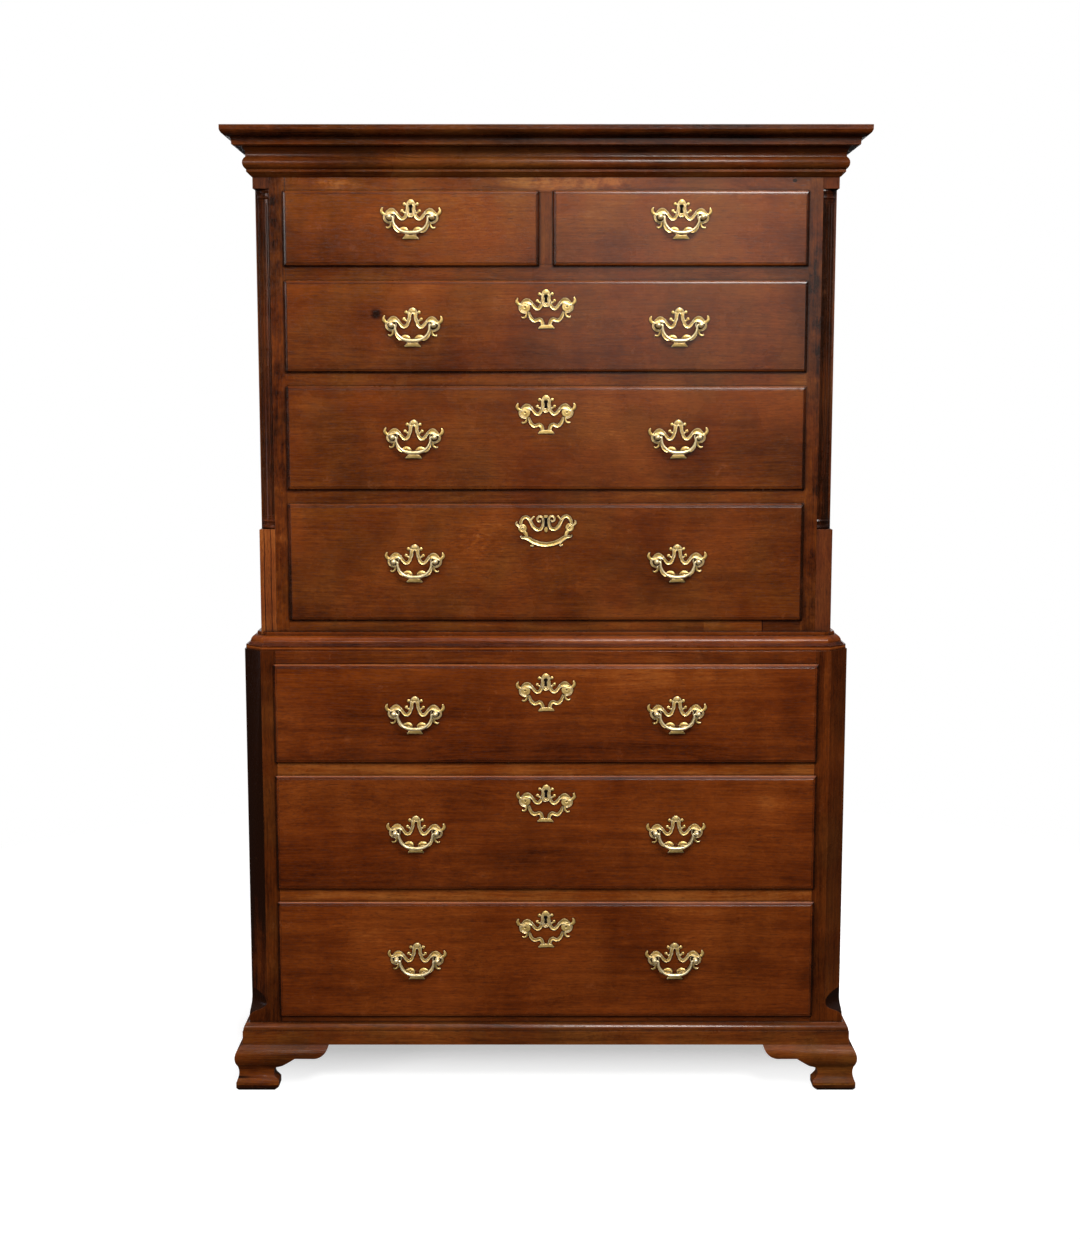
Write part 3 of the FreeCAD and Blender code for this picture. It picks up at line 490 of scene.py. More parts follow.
def dark_stiles(s, value):
    """The upper case's stiles, darker in patches than its rails."""
    stile = s.above(s.absolute(s.axis("X")), STILE_INNER)
    patches = s.span(s.cloud(*STILE_PATCHES), 0.36, 0.64, -0.30, 0.0)
    return s.tint(value, stile, patches)


def patched_rail(s, value):
    """The lowest rail of the upper case and its mends."""
    rail = s.below(s.axis("Z"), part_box("upper_drawer_3_front")[0].z + RAIL_EDGE)
    for middle, half, soft, change in MENDS:
        value = s.tint(value, s.times(s.near(s.axis("X"), middle, half, soft), rail), change)
    return value


def worn_frieze(s, value):
    """Pale patches rubbed into the board over the short drawers, and an old nail hole at its right."""
    x, up = s.axis("X"), s.minus(s.axis("Z"), SHORT_HIGH)
    rub = s.span(s.cloud(*FRIEZE_WEAR), 0.34, 0.62)
    for centre, size, change in FRIEZE_RUBS:
        value = s.tint(value, s.times(spot(s, x, up, centre, size, 0.8), rub), change)
    return s.tint(value, spot(s, x, up, *NAIL_HOLE, 0.4), -0.9)


def worn_pads(s, value):
    """The feet: dark at the floor, with a rubbed arris over the pad."""
    z = s.axis("Z")
    chips = s.span(s.cloud(*PAD_CHIPS), 0.40, 0.60)
    value = s.tint(value, s.span(z, *PAD_TOP, 1.0, 0.0), -0.22)
    return s.tint(value, s.times(s.near(z, *PAD_ARRIS), chips), 0.40)


def waist_shade_and_highlight(s, value):
    """Waist moulding: painted shade in the quirk over its lowest member, and a painted highlight on that
    member's arris.
    """
    up = s.minus(s.axis("Z"), WAIST_LOW)
    return s.tint(s.tint(value, s.near(up, *WAIST_QUIRK_SHADE), -0.34), s.near(up, *WAIST_ARRIS_HIGHLIGHT), 0.30)


def swirled(s, value):
    """Third long drawer: a pale swirl of crossed grain round a knot."""
    x, z = s.axis("X"), s.axis("Z")
    up = s.minus(z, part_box("upper_drawer_3_front")[1].z)
    curl = s.noise(s.merge(s.times(x, 26.0), 0.0, s.times(z, 60.0)), detail=4.0, distort=2.2)
    pale = s.times(spot(s, x, up, *SWIRL_PALE, 0.9), s.span(curl, 0.42, 0.66))
    dark = s.times(spot(s, x, up, *SWIRL_DARK, 0.9), s.span(curl, 0.35, 0.60))
    return s.tint(s.tint(value, pale, 0.26), dark, -0.22)


def knotted(s, value):
    """First long drawer: a small dark knot beside the left handle."""
    x, up = s.axis("X"), s.minus(s.axis("Z"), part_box("upper_drawer_1_front")[1].z)
    value = s.tint(value, spot(s, x, up, *KNOT_HALO, 1.0), -0.16)
    return s.tint(value, spot(s, x, up, *KNOT, 0.9), -0.55)


def dark_flutes(s, value):
    """The right column, darker than the left."""
    return s.tint(value, s.above(s.axis("X"), 0.0), -0.16)


def shaded_rails(s, value):
    """The lower case's top and bottom rails, darker than the two between the drawers; the top one as painted
    shade under the waist moulding.
    """
    z = s.axis("Z")
    over = s.above(z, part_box("lower_drawer_1_front")[1].z - RAIL_EDGE)
    under = s.below(z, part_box("lower_drawer_3_front")[0].z + RAIL_EDGE)
    return s.tint(s.tint(value, over, -0.20), under, -0.34)


def cracked(s, value):
    """Blocks: pale at the foot on the left, where one is split along its grain; the right one at the foot
    darker as painted shade, and the two by the frieze darker.
    """
    x, z = s.axis("X"), s.axis("Z")
    frieze = s.above(z, SHORT_LOW)
    # painted shade on the right block at the foot; the blocks by the frieze darker
    value = s.minus(value, s.math("MAXIMUM", s.times(s.above(x, 0.0), 0.40), s.times(frieze, 0.42)))
    wander = s.offset(s.noise(s.merge(0.0, 0.0, s.times(z, 14.0))), 4.0 * MM, 0.0)
    for crack in CRACKS:
        line = s.near(s.plus(x, wander), crack, *CRACK_BAND)
        value = s.tint(value, s.times(line, s.minus(1.0, frieze)), -0.55)
    return value


def lip_shade_and_highlight(name):
    """A drawer's moulded lip, dark down its sides and under it from old polish and painted shade; painted
    shade at its right end and in a line under its top arris, a painted highlight on that arris, and the front
    lighter towards its top as painted light.
    """
    low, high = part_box(name + "_front")
    middle, half = (low.x + high.x) / 2, (high.x - low.x) / 2
    # rub: how pale the painted highlight on the top arris is
    lip, rub = LOWER_LIP if "lower" in name else UPPER_LIP

    def rule(s, value):
        z, across = s.axis("Z"), s.minus(s.axis("X"), middle)
        up = s.minus(z, high.z)
        side = s.span(s.absolute(across), half - lip - LIP_SOFT, half - lip + LIP_SOFT)
        under = s.span(z, low.z + 0.4 * lip - LIP_SOFT, low.z + 0.4 * lip + LIP_SOFT, 1.0, 0.0)
        right = s.span(across, half - RIGHT_END, half)
        # painted shade at the sides, under the lip, at the right end and in a line under the arris, and a
        # painted highlight on the arris
        for mask, change in ((side, -0.36), (under, -0.24), (right, -0.10), (s.near(up, *LIP_SHADE_LINE), -0.14),
                             (s.span(up, *LIP_ARRIS_HIGHLIGHT), rub)):
            value = s.tint(value, mask, change)
        # painted light: the front lighter towards its top
        return s.plus(value, s.span(z, low.z, high.z, -0.07, 0.07))
    return rule


def within_cant(s, depth):
    """1 on the canted corner, by how deep a point lies behind the case's side or front."""
    start, end = s.span(depth, 0.5 * MM, 1.3 * MM), s.span(depth, CANT - 1.2 * MM, CANT - 0.5 * MM, 1.0, 0.0)
    return s.times(start, end)


def dark_chamfer(s, value):
    """The canted corners of the lower case, darker than the posts' fronts and darkest as painted shade over
    the lamb's tongue; away from the tongue both are lighter towards their foot, and the right one is lighter
    all along.
    """
    x, up = s.axis("X"), s.minus(s.axis("Z"), BASE_TOP)
    inside = s.minus(LOWER_HALF, s.absolute(x))
    cant = s.times(within_cant(s, inside), within_cant(s, s.minus(s.axis("Y"), LOWER_FRONT)))
    # painted shade over the lamb's tongue
    moon = spot(s, inside, up, *TONGUE, 0.12)
    value = s.minus(value, s.times(cant, s.plus(0.40, s.times(moon, 0.6))))
    # lighter towards the foot, the right corner lighter all along, but not over the tongue
    left_lift, right_lift = s.span(up, 0.10, 0.26, 0.40, 0.0), s.span(up, 0.0, 0.25, 0.66, 0.38)
    rubbed = s.times(s.blend(s.above(x, 0.0), left_lift, right_lift), s.minus(1.0, moon))
    return s.tint(value, cant, rubbed)


def dark_crown(s, value):
    """The top member of the cornice, darker than the mouldings under it."""
    return s.tint(value, s.span(s.minus(s.axis("Z"), CORNICE_TOP), *CROWN_FOOT), -0.15)


# ---- CAD nodes: their woods and softened edges ----
CASE_EDGE, FRONT_EDGE, LINING_EDGE = 0.7 * MM, 0.8 * MM, 0.6 * MM
SOFTENED = math.radians(32)    # edges sharper than this are rounded
FRONT_SEED, LINING_SEED, BOARD_SEED = 12, 21, 31
# tone and streak of each drawer front
DRAWER_LOOKS = {
    "short_drawer_left": (-0.05, 0.22), "short_drawer_right": (-0.04, 0.22),
    "upper_drawer_1": (-0.09, 0.32), "upper_drawer_2": (-0.08, 0.38), "upper_drawer_3": (-0.11, 0.44),
    "lower_drawer_1": (-0.06, 0.56), "lower_drawer_2": (-0.03, 0.56), "lower_drawer_3": (-0.01, 0.50)}
DRAWER_MARKS = {"upper_drawer_1": [knotted], "upper_drawer_3": [swirled]}
INNER_BOARDS = (
    ("back_boards", "back_wood", -0.12), ("lower_inner_boards", "lower_inner_wood", -0.05),
    ("upper_inner_boards", "upper_inner_wood", -0.05))


def soften(node, width):
    """Rounds a wooden node's sharp edges by a hand plane's stroke, without touching its mesh."""
    o = NODES[node]
    weld = o.modifiers.new("weld", "WELD")
    weld.merge_threshold = 0.02 * MM
    bevel = o.modifiers.new("bevel", "BEVEL")
    bevel.width = width
    bevel.segments = 2
    bevel.limit_method = "ANGLE"
    bevel.angle_limit = SOFTENED
    bevel.harden_normals = True
    bevel.use_clamp_overlap = True
    bevel.miter_outer = "MITER_SHARP"


def dress(node, material):
    o = NODES[node]
    o.data.materials.clear()
    o.data.materials.append(material)


def case_woods():
    """Material name, grain and look of each visible node of the two cases, in the order of their seeds."""
    upper = returned(-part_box("upper_case_sides")[0].x, UPPER_FRONT)
    lower = returned(-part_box("lower_case_sides")[0].x, LOWER_FRONT)
    return {
        "cornice": ("cornice_wood", "X", dict(
            tone=-0.10, aged=0.7, coat=0.12, streak=0.7, turned=upper, special=[dark_crown])),
        "waist_moulding": ("waist_wood", "X", dict(
            tone=0.08, aged=0.15, coat=0.12, streak=0.9, turned=lower, special=[waist_shade_and_highlight])),
        "base_moulding": ("base_wood", "X", dict(tone=-0.02, aged=0.7, coat=0.6, streak=0.8, turned=lower)),
        "upper_front_frame": ("upper_frame_wood", "X", dict(
            tone=-0.05, aged=0.6, streak=0.9, turned=uprights,
            special=[dark_stiles, patched_rail, worn_frieze])),
        "lower_drawer_rails": ("lower_rail_wood", "X", dict(
            tone=0.16, aged=0.3, streak=0.9, special=[shaded_rails])),
        "lower_corner_posts": ("post_wood", "Z", dict(
            tone=-0.28, aged=0.6, coat=0.08, special=[dark_chamfer])),
        "lower_case_sides": ("lower_side_wood", "Z", dict(tone=-0.02, aged=0.4)),
        "upper_case_sides": ("upper_side_wood", "Z", dict(tone=-0.02, aged=0.4)),
        "quarter_columns": ("column_wood", "Z", dict(tone=-0.28, aged=0.6, coat=0.18, special=[dark_flutes])),
        "corner_blocks": ("block_wood", "Z", dict(
            tone=0.19, aged=0.4, coat=0.0, dull=0.3, special=[cracked])),
        "bracket_feet": ("foot_wood", "X", dict(
            tone=-0.09, aged=0.8, coat=0.20, streak=0.9, turned=lower, special=[worn_pads])),
    }


def build_wood():
    for seed, (node, (wood, grain, look)) in enumerate(case_woods().items(), 1):
        dress(node, mahogany(wood, grain, seed, **look))
        if node != "quarter_columns":      # the flutes are too fine to soften
            soften(node, CASE_EDGE)
    for i, name in enumerate(DRAWERS):
        tone, streak = DRAWER_LOOKS[name]
        aged = 0.15 if "lower" in name else 0.5
        marks = [lip_shade_and_highlight(name)] + DRAWER_MARKS.get(name, [])
        dress(name + "_front", mahogany(name + "_wood", "X", FRONT_SEED + i, tone, aged, streak=streak,
                                        special=marks))
        sides = along_sides(*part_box(name + "_box"))
        dress(name + "_box", oak(name + "_lining", LINING_SEED + i, 0.05, sides))
        soften(name + "_front", FRONT_EDGE)
        soften(name + "_box", LINING_EDGE)
    for seed, (node, wood, tone) in enumerate(INNER_BOARDS, BOARD_SEED):
        dress(node, oak(wood, seed, tone))


# ---- mesh helpers ----
# right halves of a chased band's sections, from its middle out, as shares of its half width and height
SECTIONS = {
    "rib": [(0.24, 0.74), (0.58, 1.0), (0.84, 0.86), (1, 0.42), (1, 0)],
    "dish": [(0.30, 0.42), (0.66, 0.92), (0.88, 0.96), (1, 0.5), (1, 0)],
    "dome": [(0, 1.0), (0.5, 0.93), (0.86, 0.68), (1, 0.35), (1, 0)],
    "flat": [(0, 0.92), (0.7, 1.0), (0.9, 0.92), (1, 0.62), (1, 0)]}
CREASE = math.radians(50)      # edges sharper than this aren't smoothed over


def smooth_path(points, steps):
    """Points of a Catmull-Rom curve through points; each may carry more numbers, such as a radius."""
    padded = [points[0]] + list(points) + [points[-1]]
    out = []
    for i in range(1, len(padded) - 2):
        p0, p1, p2, p3 = padded[i - 1:i + 3]
        for k in range(steps):
            t = k / steps
            out.append(tuple(0.5 * (2 * b + (c - a) * t + (2 * a - 5 * b + 4 * c - d) * t * t
                                    + (3 * b - a - 3 * c + d) * t ** 3)
                             for a, b, c, d in zip(p0, p1, p2, p3)))
    out.append(tuple(points[-1]))
    return out


def with_normals(path):
    """Each point (u, w, size) of a path with the unit vector across the path there."""
    for i, (u, w, size) in enumerate(path):
        before, after = path[max(i - 1, 0)], path[min(i + 1, len(path) - 1)]
        du, dw = after[0] - before[0], after[1] - before[1]
        length = math.hypot(du, dw) or 1.0
        yield u, w, size, -dw / length, du / length


def circle(sides):
    return [math.tau * k / sides for k in range(sides)]


class Mesh:
    """Vertices and faces gathered piece by piece, in mm: u right, out towards the viewer, w up."""

    def __init__(self):
        self.verts = []
        self.faces = []
        self.slots = []

    def add(self, rings, caps=True, slot=0):
        """Joins rings of equal length with quads of one material slot."""
        start = len(self.verts)
        count = len(rings[0])
        for ring in rings:
            self.verts += ring
        for i in range(len(rings) - 1):
            for k in range(count):
                a = start + i * count + k
                b = start + i * count + (k + 1) % count
                self.faces.append((a, b, b + count, a + count))
        if caps:
            self.faces.append(tuple(range(start + count - 1, start - 1, -1)))
            last = start + (len(rings) - 1) * count
            self.faces.append(tuple(range(last, last + count)))
        self.slots += [slot] * (len(self.faces) - len(self.slots))

    def lathe(self, profile, sides, at=(0.0, 0.0), squash=1.0, slot=0):
        """Turned about the outward axis at (u, w): profile is (out, radius)."""
        self.add([[(at[0] + radius * math.cos(a), out, at[1] + radius * squash * math.sin(a))
                   for a in circle(sides)] for out, radius in profile], slot=slot)

    def stroke(self, points, height, section="rib", steps=5):
        """A low band along points (u, w, half width) with a chased top, lower where it is narrow."""
        right = SECTIONS[section]
        whole = [(-a, b) for a, b in reversed(right) if a > 0] + right
        rings = []
        for u, w, half, nu, nw in with_normals(smooth_path(points, steps)):
            tall = height * min(1.0, 0.45 + half / 2.6)
            rings.append([(u + nu * half * a, b * tall, w + nw * half * a) for a, b in whole])
        self.add(rings)

    def mirrored(self):
        """Adds a copy of all this, flipped left to right."""
        start = len(self.verts)
        self.verts += [(-u, out, w) for u, out, w in self.verts]
        self.faces += [tuple(i + start for i in reversed(face)) for face in self.faces]
        self.slots += self.slots

    def made(self, name):
        """The Blender mesh, with outward normals and its creases kept."""
        mesh = bpy.data.meshes.new(name)
        mesh.from_pydata([(u * MM, -out * MM, w * MM) for u, out, w in self.verts], [], self.faces)
        for polygon, slot in zip(mesh.polygons, self.slots):
            polygon.material_index = slot
        mesh.validate()
        mesh.update()
        work = bmesh.new()
        work.from_mesh(mesh)
        bmesh.ops.recalc_face_normals(work, faces=work.faces)
        work.to_mesh(mesh)
        work.free()
        for polygon in mesh.polygons:
            polygon.use_smooth = True
        mesh.set_sharp_from_angle(angle=CREASE)
        return mesh


def show(name, mesh, body, at, turn=0.0, replaces=()):
    """A piece of the brasses that rides on body, turned about Y."""
    o = bpy.data.objects.new(name, mesh)
    bpy.context.scene.collection.objects.link(o)
    o.location = at
    o.rotation_euler = (0.0, turn, 0.0)
    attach(o, body)
    if replaces:
        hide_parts(*replaces)


# ---- shapes of the brasses, in mm ----
def rosette(m, at, radius, full):
    """Round boss behind a post; on a keyhole plate it shows, domed and with a small hole, and on a handle's
    plate its sunken middle is tarnished and darkened as painted shade.
    """
    if full:
        m.lathe([(0, radius), (0.9, radius), (1.5, radius * 0.93), (1.7, radius * 0.82),
                 (1.35, radius * 0.68), (1.6, radius * 0.52), (2.0, radius * 0.38), (2.1, radius * 0.26),
                 (1.7, radius * 0.17), (0.4, radius * 0.12)], 26, at)
    else:
        # sunken middle in the second slot: tarnish, and painted shade round the post
        m.lathe([(0, radius - 0.8), (0.5, radius - 0.8), (0.5, 2.0)], 26, at, slot=1)
        m.lathe([(0, radius), (0.9, radius), (1.4, radius * 0.97), (1.4, radius * 0.93), (0.8, radius * 0.89),
                 (0, radius * 0.87)], 26, at)


def knob(m, at, radius):
    """Small rounded bead standing on a plate."""
    m.lathe([(0, radius), (1.0, radius), (1.7, radius * 0.84), (2.1, radius * 0.45), (2.2, 0.1)], 14, at)


def plate_mesh(name, kind):
    """Pierced rococo plate. kind: arch (a handle's), key (a handle's with keyhole) or scutcheon."""
    m = Mesh()
    full = kind == "scutcheon"
    # arm from the cartouche down round to the boss
    m.stroke([(6.8, 12.6, 2.6), (7.8, 6.6, 2.8), (9.6, 1.4, 3.0), (13.4, -2.4, 3.1), (17.6, -2.4, 3.0),
              (21.6, 1.4, 2.9), (24.6, 5.6, 2.6), (28.0, 7.0, 2.4)], 2.2, "dish")
    # nub on the arm
    m.stroke([(24.6, 6.2, 2.4), (25.4, 8.8, 1.7), (25.2, 10.6, 0.7)], 2.0, "dome", 3)
    # knobs beside the cartouche
    m.stroke([(6.0, 20.6, 2.2), (8.8, 22.6, 1.7), (10.6, 23.2, 1.5)], 1.8, "dome", 3)
    knob(m, (11.7, 23.4), 3.1)
    m.stroke([(8.6, 7.4, 2.2), (11.4, 7.8, 1.9), (14.2, 9.8, 1.6)], 1.8, "dome", 3)
    knob(m, (15.7, 11.2), 3.0)
    # leafy hump over the boss
    m.stroke([(25.6, 6.8, 2.4), (28.6, 9.0, 3.6), (32.2, 10.6, 5.0), (36.0, 10.6, 5.6), (40.0, 8.6, 4.8),
              (43.6, 6.4, 3.4), (46.6, 5.2, 2.6)], 2.4, "dish")
    # horn
    m.stroke([(44.6, 4.6, 2.4), (48.0, 4.8, 2.7), (51.4, 7.4, 2.9), (52.8, 11.0, 2.7), (52.2, 14.4, 2.0),
              (50.8, 17.2, 1.0)], 2.3, "dome")
    # boss, and the scrolled rim outside it
    rosette(m, (38.4, 0.2), 9.6, full)
    m.stroke([(46.4, 4.6, 1.8), (48.4, 0.4, 1.9), (47.0, -5.0, 1.9), (42.4, -8.8, 1.9), (37.2, -9.8, 2.0)],
             2.2)
    # curl below the boss
    m.stroke([(36.2, -8.6, 2.2), (35.6, -12.4, 2.0), (36.8, -16.2, 1.9), (40.0, -18.6, 1.8),
              (43.0, -18.4, 1.4), (44.6, -16.8, 0.7)], 2.0, "dome")
    # lower arm: out of the boss and down to the foot
    m.stroke([(31.4, -8.4, 1.6), (30.2, -13.6, 2.7), (27.2, -20.0, 3.1), (22.2, -24.2, 3.2),
              (17.6, -23.8, 3.1), (13.4, -22.0, 3.2), (9.4, -23.6, 3.4), (7.0, -28.2, 3.2),
              (6.8, -32.4, 3.4)], 2.2, "dish")
    if not full:
        # leaf
        m.stroke([(21.4, -21.8, 0.6), (17.4, -20.8, 2.7), (12.6, -20.4, 3.7), (8.0, -21.6, 3.0),
                  (4.0, -24.0, 0.7)], 2.9, "dome", 4)
    # half of the spreading foot
    m.stroke([(0.0, -35.2, 3.4), (5.0, -35.2, 3.4), (9.0, -35.6, 3.2), (12.0, -37.0, 1.9),
              (14.6, -38.2, 0.8)], 1.9, "flat", 4)
    # cartouche
    if kind == "arch":
        m.stroke([(0.0, 26.0, 5.6), (2.8, 25.0, 5.2), (5.0, 21.2, 3.9), (5.6, 16.4, 3.1), (5.9, 11.6, 3.0),
                  (7.2, 7.4, 2.7)], 2.4, "dish")
    else:
        m.stroke([(0.0, 27.0, 4.4), (3.2, 25.8, 3.9), (6.0, 21.4, 2.7), (6.2, 15.0, 2.5), (5.6, 8.6, 2.6),
                  (3.4, 3.6, 2.8), (0.0, 1.8, 2.9)], 2.3)
    m.mirrored()
    # bud at the top
    m.lathe([(0, 5.8), (1.4, 5.8), (2.2, 5.0), (2.6, 3.0), (2.8, 0.2)], 18, (0.0, 27.0), 0.86)
    return m.made(name)


def crescent_plate_mesh(name):
    """The odd keyhole plate: scrolls over a crescent, placed about its keyhole."""
    m = Mesh()
    # scroll from the outer boss, over the hump, round below and up beside the keyhole to a ring curl
    m.stroke([(46.2, -6.0, 2.2), (46.4, 0.6, 2.9), (43.2, 7.6, 3.0), (37.0, 10.2, 3.1), (31.0, 6.8, 3.0),
              (27.6, 0.0, 3.0), (23.6, -7.2, 3.1), (17.6, -12.8, 3.2), (11.0, -13.0, 3.0), (6.6, -8.0, 2.6),
              (5.2, 0.0, 2.3), (5.4, 6.6, 2.1)], 2.3, "dish")
    m.stroke([(5.6, 5.0, 1.9), (7.4, 9.6, 2.0), (12.0, 10.6, 2.0), (15.6, 7.6, 2.0), (15.2, 3.0, 1.9),
              (11.4, 1.2, 1.7), (9.4, 3.8, 1.3)], 2.1)
    # spur of the scroll, with its bead
    m.stroke([(28.6, 3.0, 2.2), (25.2, 7.2, 1.8), (22.8, 9.8, 1.5)], 1.9, "dome", 4)
    m.lathe([(0, 2.0), (1.2, 2.0), (2.1, 1.1), (2.2, 0.1)], 12, (22.6, 10.0))
    # outer boss with a hole, horn and lower curl
    m.lathe([(0, 7.8), (1.1, 7.8), (2.0, 6.8), (2.1, 5.4), (1.1, 4.0), (1.9, 2.6), (1.6, 1.4), (0.2, 1.0)],
            22, (43.4, -10.8))
    m.stroke([(47.8, -7.6, 2.4), (52.4, -5.0, 2.4), (54.6, -1.8, 2.1), (53.6, 2.6, 0.8)], 2.0)
    m.stroke([(41.0, -16.6, 3.4), (37.8, -20.6, 3.2), (36.4, -25.6, 3.0)], 2.1, "dome")
    # lower crescent, and a curl under it
    m.stroke([(47.4, -24.0, 0.9), (44.6, -27.6, 2.1), (38.6, -27.8, 3.0), (32.0, -30.4, 3.9),
              (24.0, -35.6, 4.2), (12.0, -40.0, 4.3), (0.0, -41.6, 4.3)], 2.5, "dish")
    m.stroke([(28.0, -36.0, 2.4), (24.8, -40.2, 2.2), (25.6, -43.4, 1.8), (28.4, -43.6, 0.8)], 2.0)
    m.lathe([(0, 1.9), (1.2, 1.9), (2.0, 1.1), (2.1, 0.1)], 12, (28.6, -43.2))
    m.mirrored()
    # buds over and under the keyhole
    m.stroke([(0.0, 12.6, 3.4), (0.0, 10.0, 4.0), (0.0, 8.0, 3.0)], 1.9, "dome", 3)
    m.stroke([(0.0, -9.0, 1.6), (0.0, -13.0, 3.6), (0.0, -16.4, 3.0), (0.0, -18.8, 0.8)], 2.3, "dome", 4)
    return m.made(name)


def keyhole_outline():
    """A round head over a slot that widens downwards, about 16 mm high, over the line of the bosses."""
    turns = [math.radians(-48 + 276 * k / 12) for k in range(13)]
    head = [(3.6 * math.cos(a), 19.6 + 3.6 * math.sin(a)) for a in turns]
    return head + [(-2.3, 15.2), (-3.1, 8.4), (-2.3, 7.2), (2.3, 7.2), (3.1, 8.4), (2.3, 15.2)]


def keyhole_mesh(name):
    """A dark plug in the keyhole's shape, painted as the shade inside it, seen through the plate."""
    m = Mesh()
    m.add([[(u, out, w) for u, w in keyhole_outline()] for out in (-2.0, 0.9)])
    return m.made(name)


def key_rim_mesh(name):
    """Raised rim round the keyhole that closes the cartouche about it."""
    m = Mesh()
    rings = []
    middle, narrow = 14.4, 1.8     # height of the keyhole's middle, and its height over its width
    for grow, out in ((0.0, 0.0), (0.0, 1.3), (0.7, 1.7), (1.7, 1.4), (2.9, 1.1), (2.9, 0.0)):
        ring = []
        for u, w in keyhole_outline():
            du, dw = u * narrow, w - middle
            length = math.hypot(du, dw)
            ring.append((u + grow * du / length, out, w + grow * dw / length))
        rings.append(ring)
    m.add(rings, caps=False)
    return m.made(name)


def post_mesh(name):
    """Turned post: collar, neck, ball head drilled for the bail, and a small finial dome."""
    m = Mesh()
    m.lathe([(1.0, 4.4), (2.2, 4.4), (2.9, 3.9), (3.4, 3.1), (5.4, 2.7), (7.4, 3.1), (8.3, 4.0), (9.6, 4.5),
             (11.0, 4.6), (12.4, 4.4), (13.6, 3.8), (14.5, 2.8), (15.1, 1.6), (15.4, 0.3)], 24)
    return m.made(name)


def bail_mesh(name):
    """Swan-neck bail: slim legs with turned-out ends, swelling to a stout grip."""
    m = Mesh()
    half = [(42.6, 0.0, 1.5), (37.0, 0.0, 1.5), (33.6, 0.0, 1.6), (31.6, -1.6, 1.9), (31.2, -5.4, 1.85),
            (30.2, -10.4, 1.85), (26.8, -17.0, 2.0), (20.6, -23.2, 2.3), (13.6, -26.5, 2.7),
            (6.8, -27.9, 3.1), (0.0, -28.2, 3.3)]
    path = smooth_path(half, 4)
    path += [(-u, w, radius) for u, w, radius in reversed(path[:-1])]
    m.add([[(u + nu * radius * math.cos(a), radius * math.sin(a), w + nw * radius * math.cos(a))
            for a in circle(14)] for u, w, radius, nu, nw in with_normals(path)])
    return m.made(name)


def block(m, u, out, w, ease):
    """A block between pairs of u, out and w, its front and back edges eased."""
    rings = []
    for level, grow in ((out[0], -ease), (out[0] + ease, 0.0), (out[1] - ease, 0.0), (out[1], -ease)):
        rings.append([(u[0] - grow, level, w[0] - grow), (u[1] + grow, level, w[0] - grow),
                      (u[1] + grow, level, w[1] + grow), (u[0] - grow, level, w[1] + grow)])
    m.add(rings)


def lock_mesh(name):
    """Brass lock plate let into the back of a drawer front, with its screws and the case's two cheeks."""
    m = Mesh()
    block(m, (-27.8, 27.8), (-0.9, 0.2), (-43.8, -0.2), 0.5)
    for cheek in ((-27.8, -12.6), (12.6, 27.8)):
        block(m, cheek, (0.4, 9.8), (-43.6, -0.4), 0.3)
    for u in (-21.0, 21.0):
        for w in (-7.0, -37.0):
            m.lathe([(-1.9, 0.3), (-1.9, 1.6), (-1.5, 2.6), (-0.8, 2.9)], 14, (u, w))
    return m.made(name)


def nut_mesh(name):
    """Round nut and the end of the post's thread, on the inside of a drawer front."""
    m = Mesh()
    m.lathe([(-3.2, 1.9), (-3.2, 4.6), (-2.8, 5.0), (-0.3, 5.0), (0.0, 4.7)], 18)
    m.lathe([(-5.4, 0.4), (-5.2, 1.7), (-3.2, 1.9), (-1.0, 1.9)], 12)
    return m.made(name)


# ---- the brasses, in their places ----
# degrees that each plate hangs askew; the keyhole plates from the top down
HANDLE_TILTS = {"left": 0.5, "right": -0.6}
SHORT_TILT = 0.4
KEY_PLATE_TILTS = dict(zip(LONG_DRAWERS, (0.9, 0.4, 1.4, 1.2, -1.2, 1.0)))


def brass_meshes():
    """The meshes that the brasses share, each with its materials."""
    metal = brass("old_brass", OLD_BRASS, 0.50, 0.30, 0.65)
    rubbed = brass("rubbed_brass", RUBBED_BRASS, 0.30, 0.26, 0.7)
    # tarnish, and painted shade, for the middle of a handle's boss
    tarnish_and_shade = brass("tarnished_brass", TARNISH_AND_SHADE, 0.4, 0.5)
    meshes = {kind: plate_mesh(kind + "_plate", kind) for kind in ("arch", "key", "scutcheon")}
    meshes["crescent"] = crescent_plate_mesh("crescent_plate")
    for mesh in meshes.values():
        mesh.materials.append(metal)
        mesh.materials.append(tarnish_and_shade)
    # painted shade inside the keyholes
    dark = painted_keyhole_shade("keyhole_dark")
    for make, name, material in (
            (keyhole_mesh, "keyhole", dark), (key_rim_mesh, "key_rim", metal), (post_mesh, "post", rubbed),
            (bail_mesh, "bail", rubbed), (lock_mesh, "lock", metal), (nut_mesh, "nut", metal)):
        meshes[name] = make(name)
        meshes[name].materials.append(material)
    return meshes


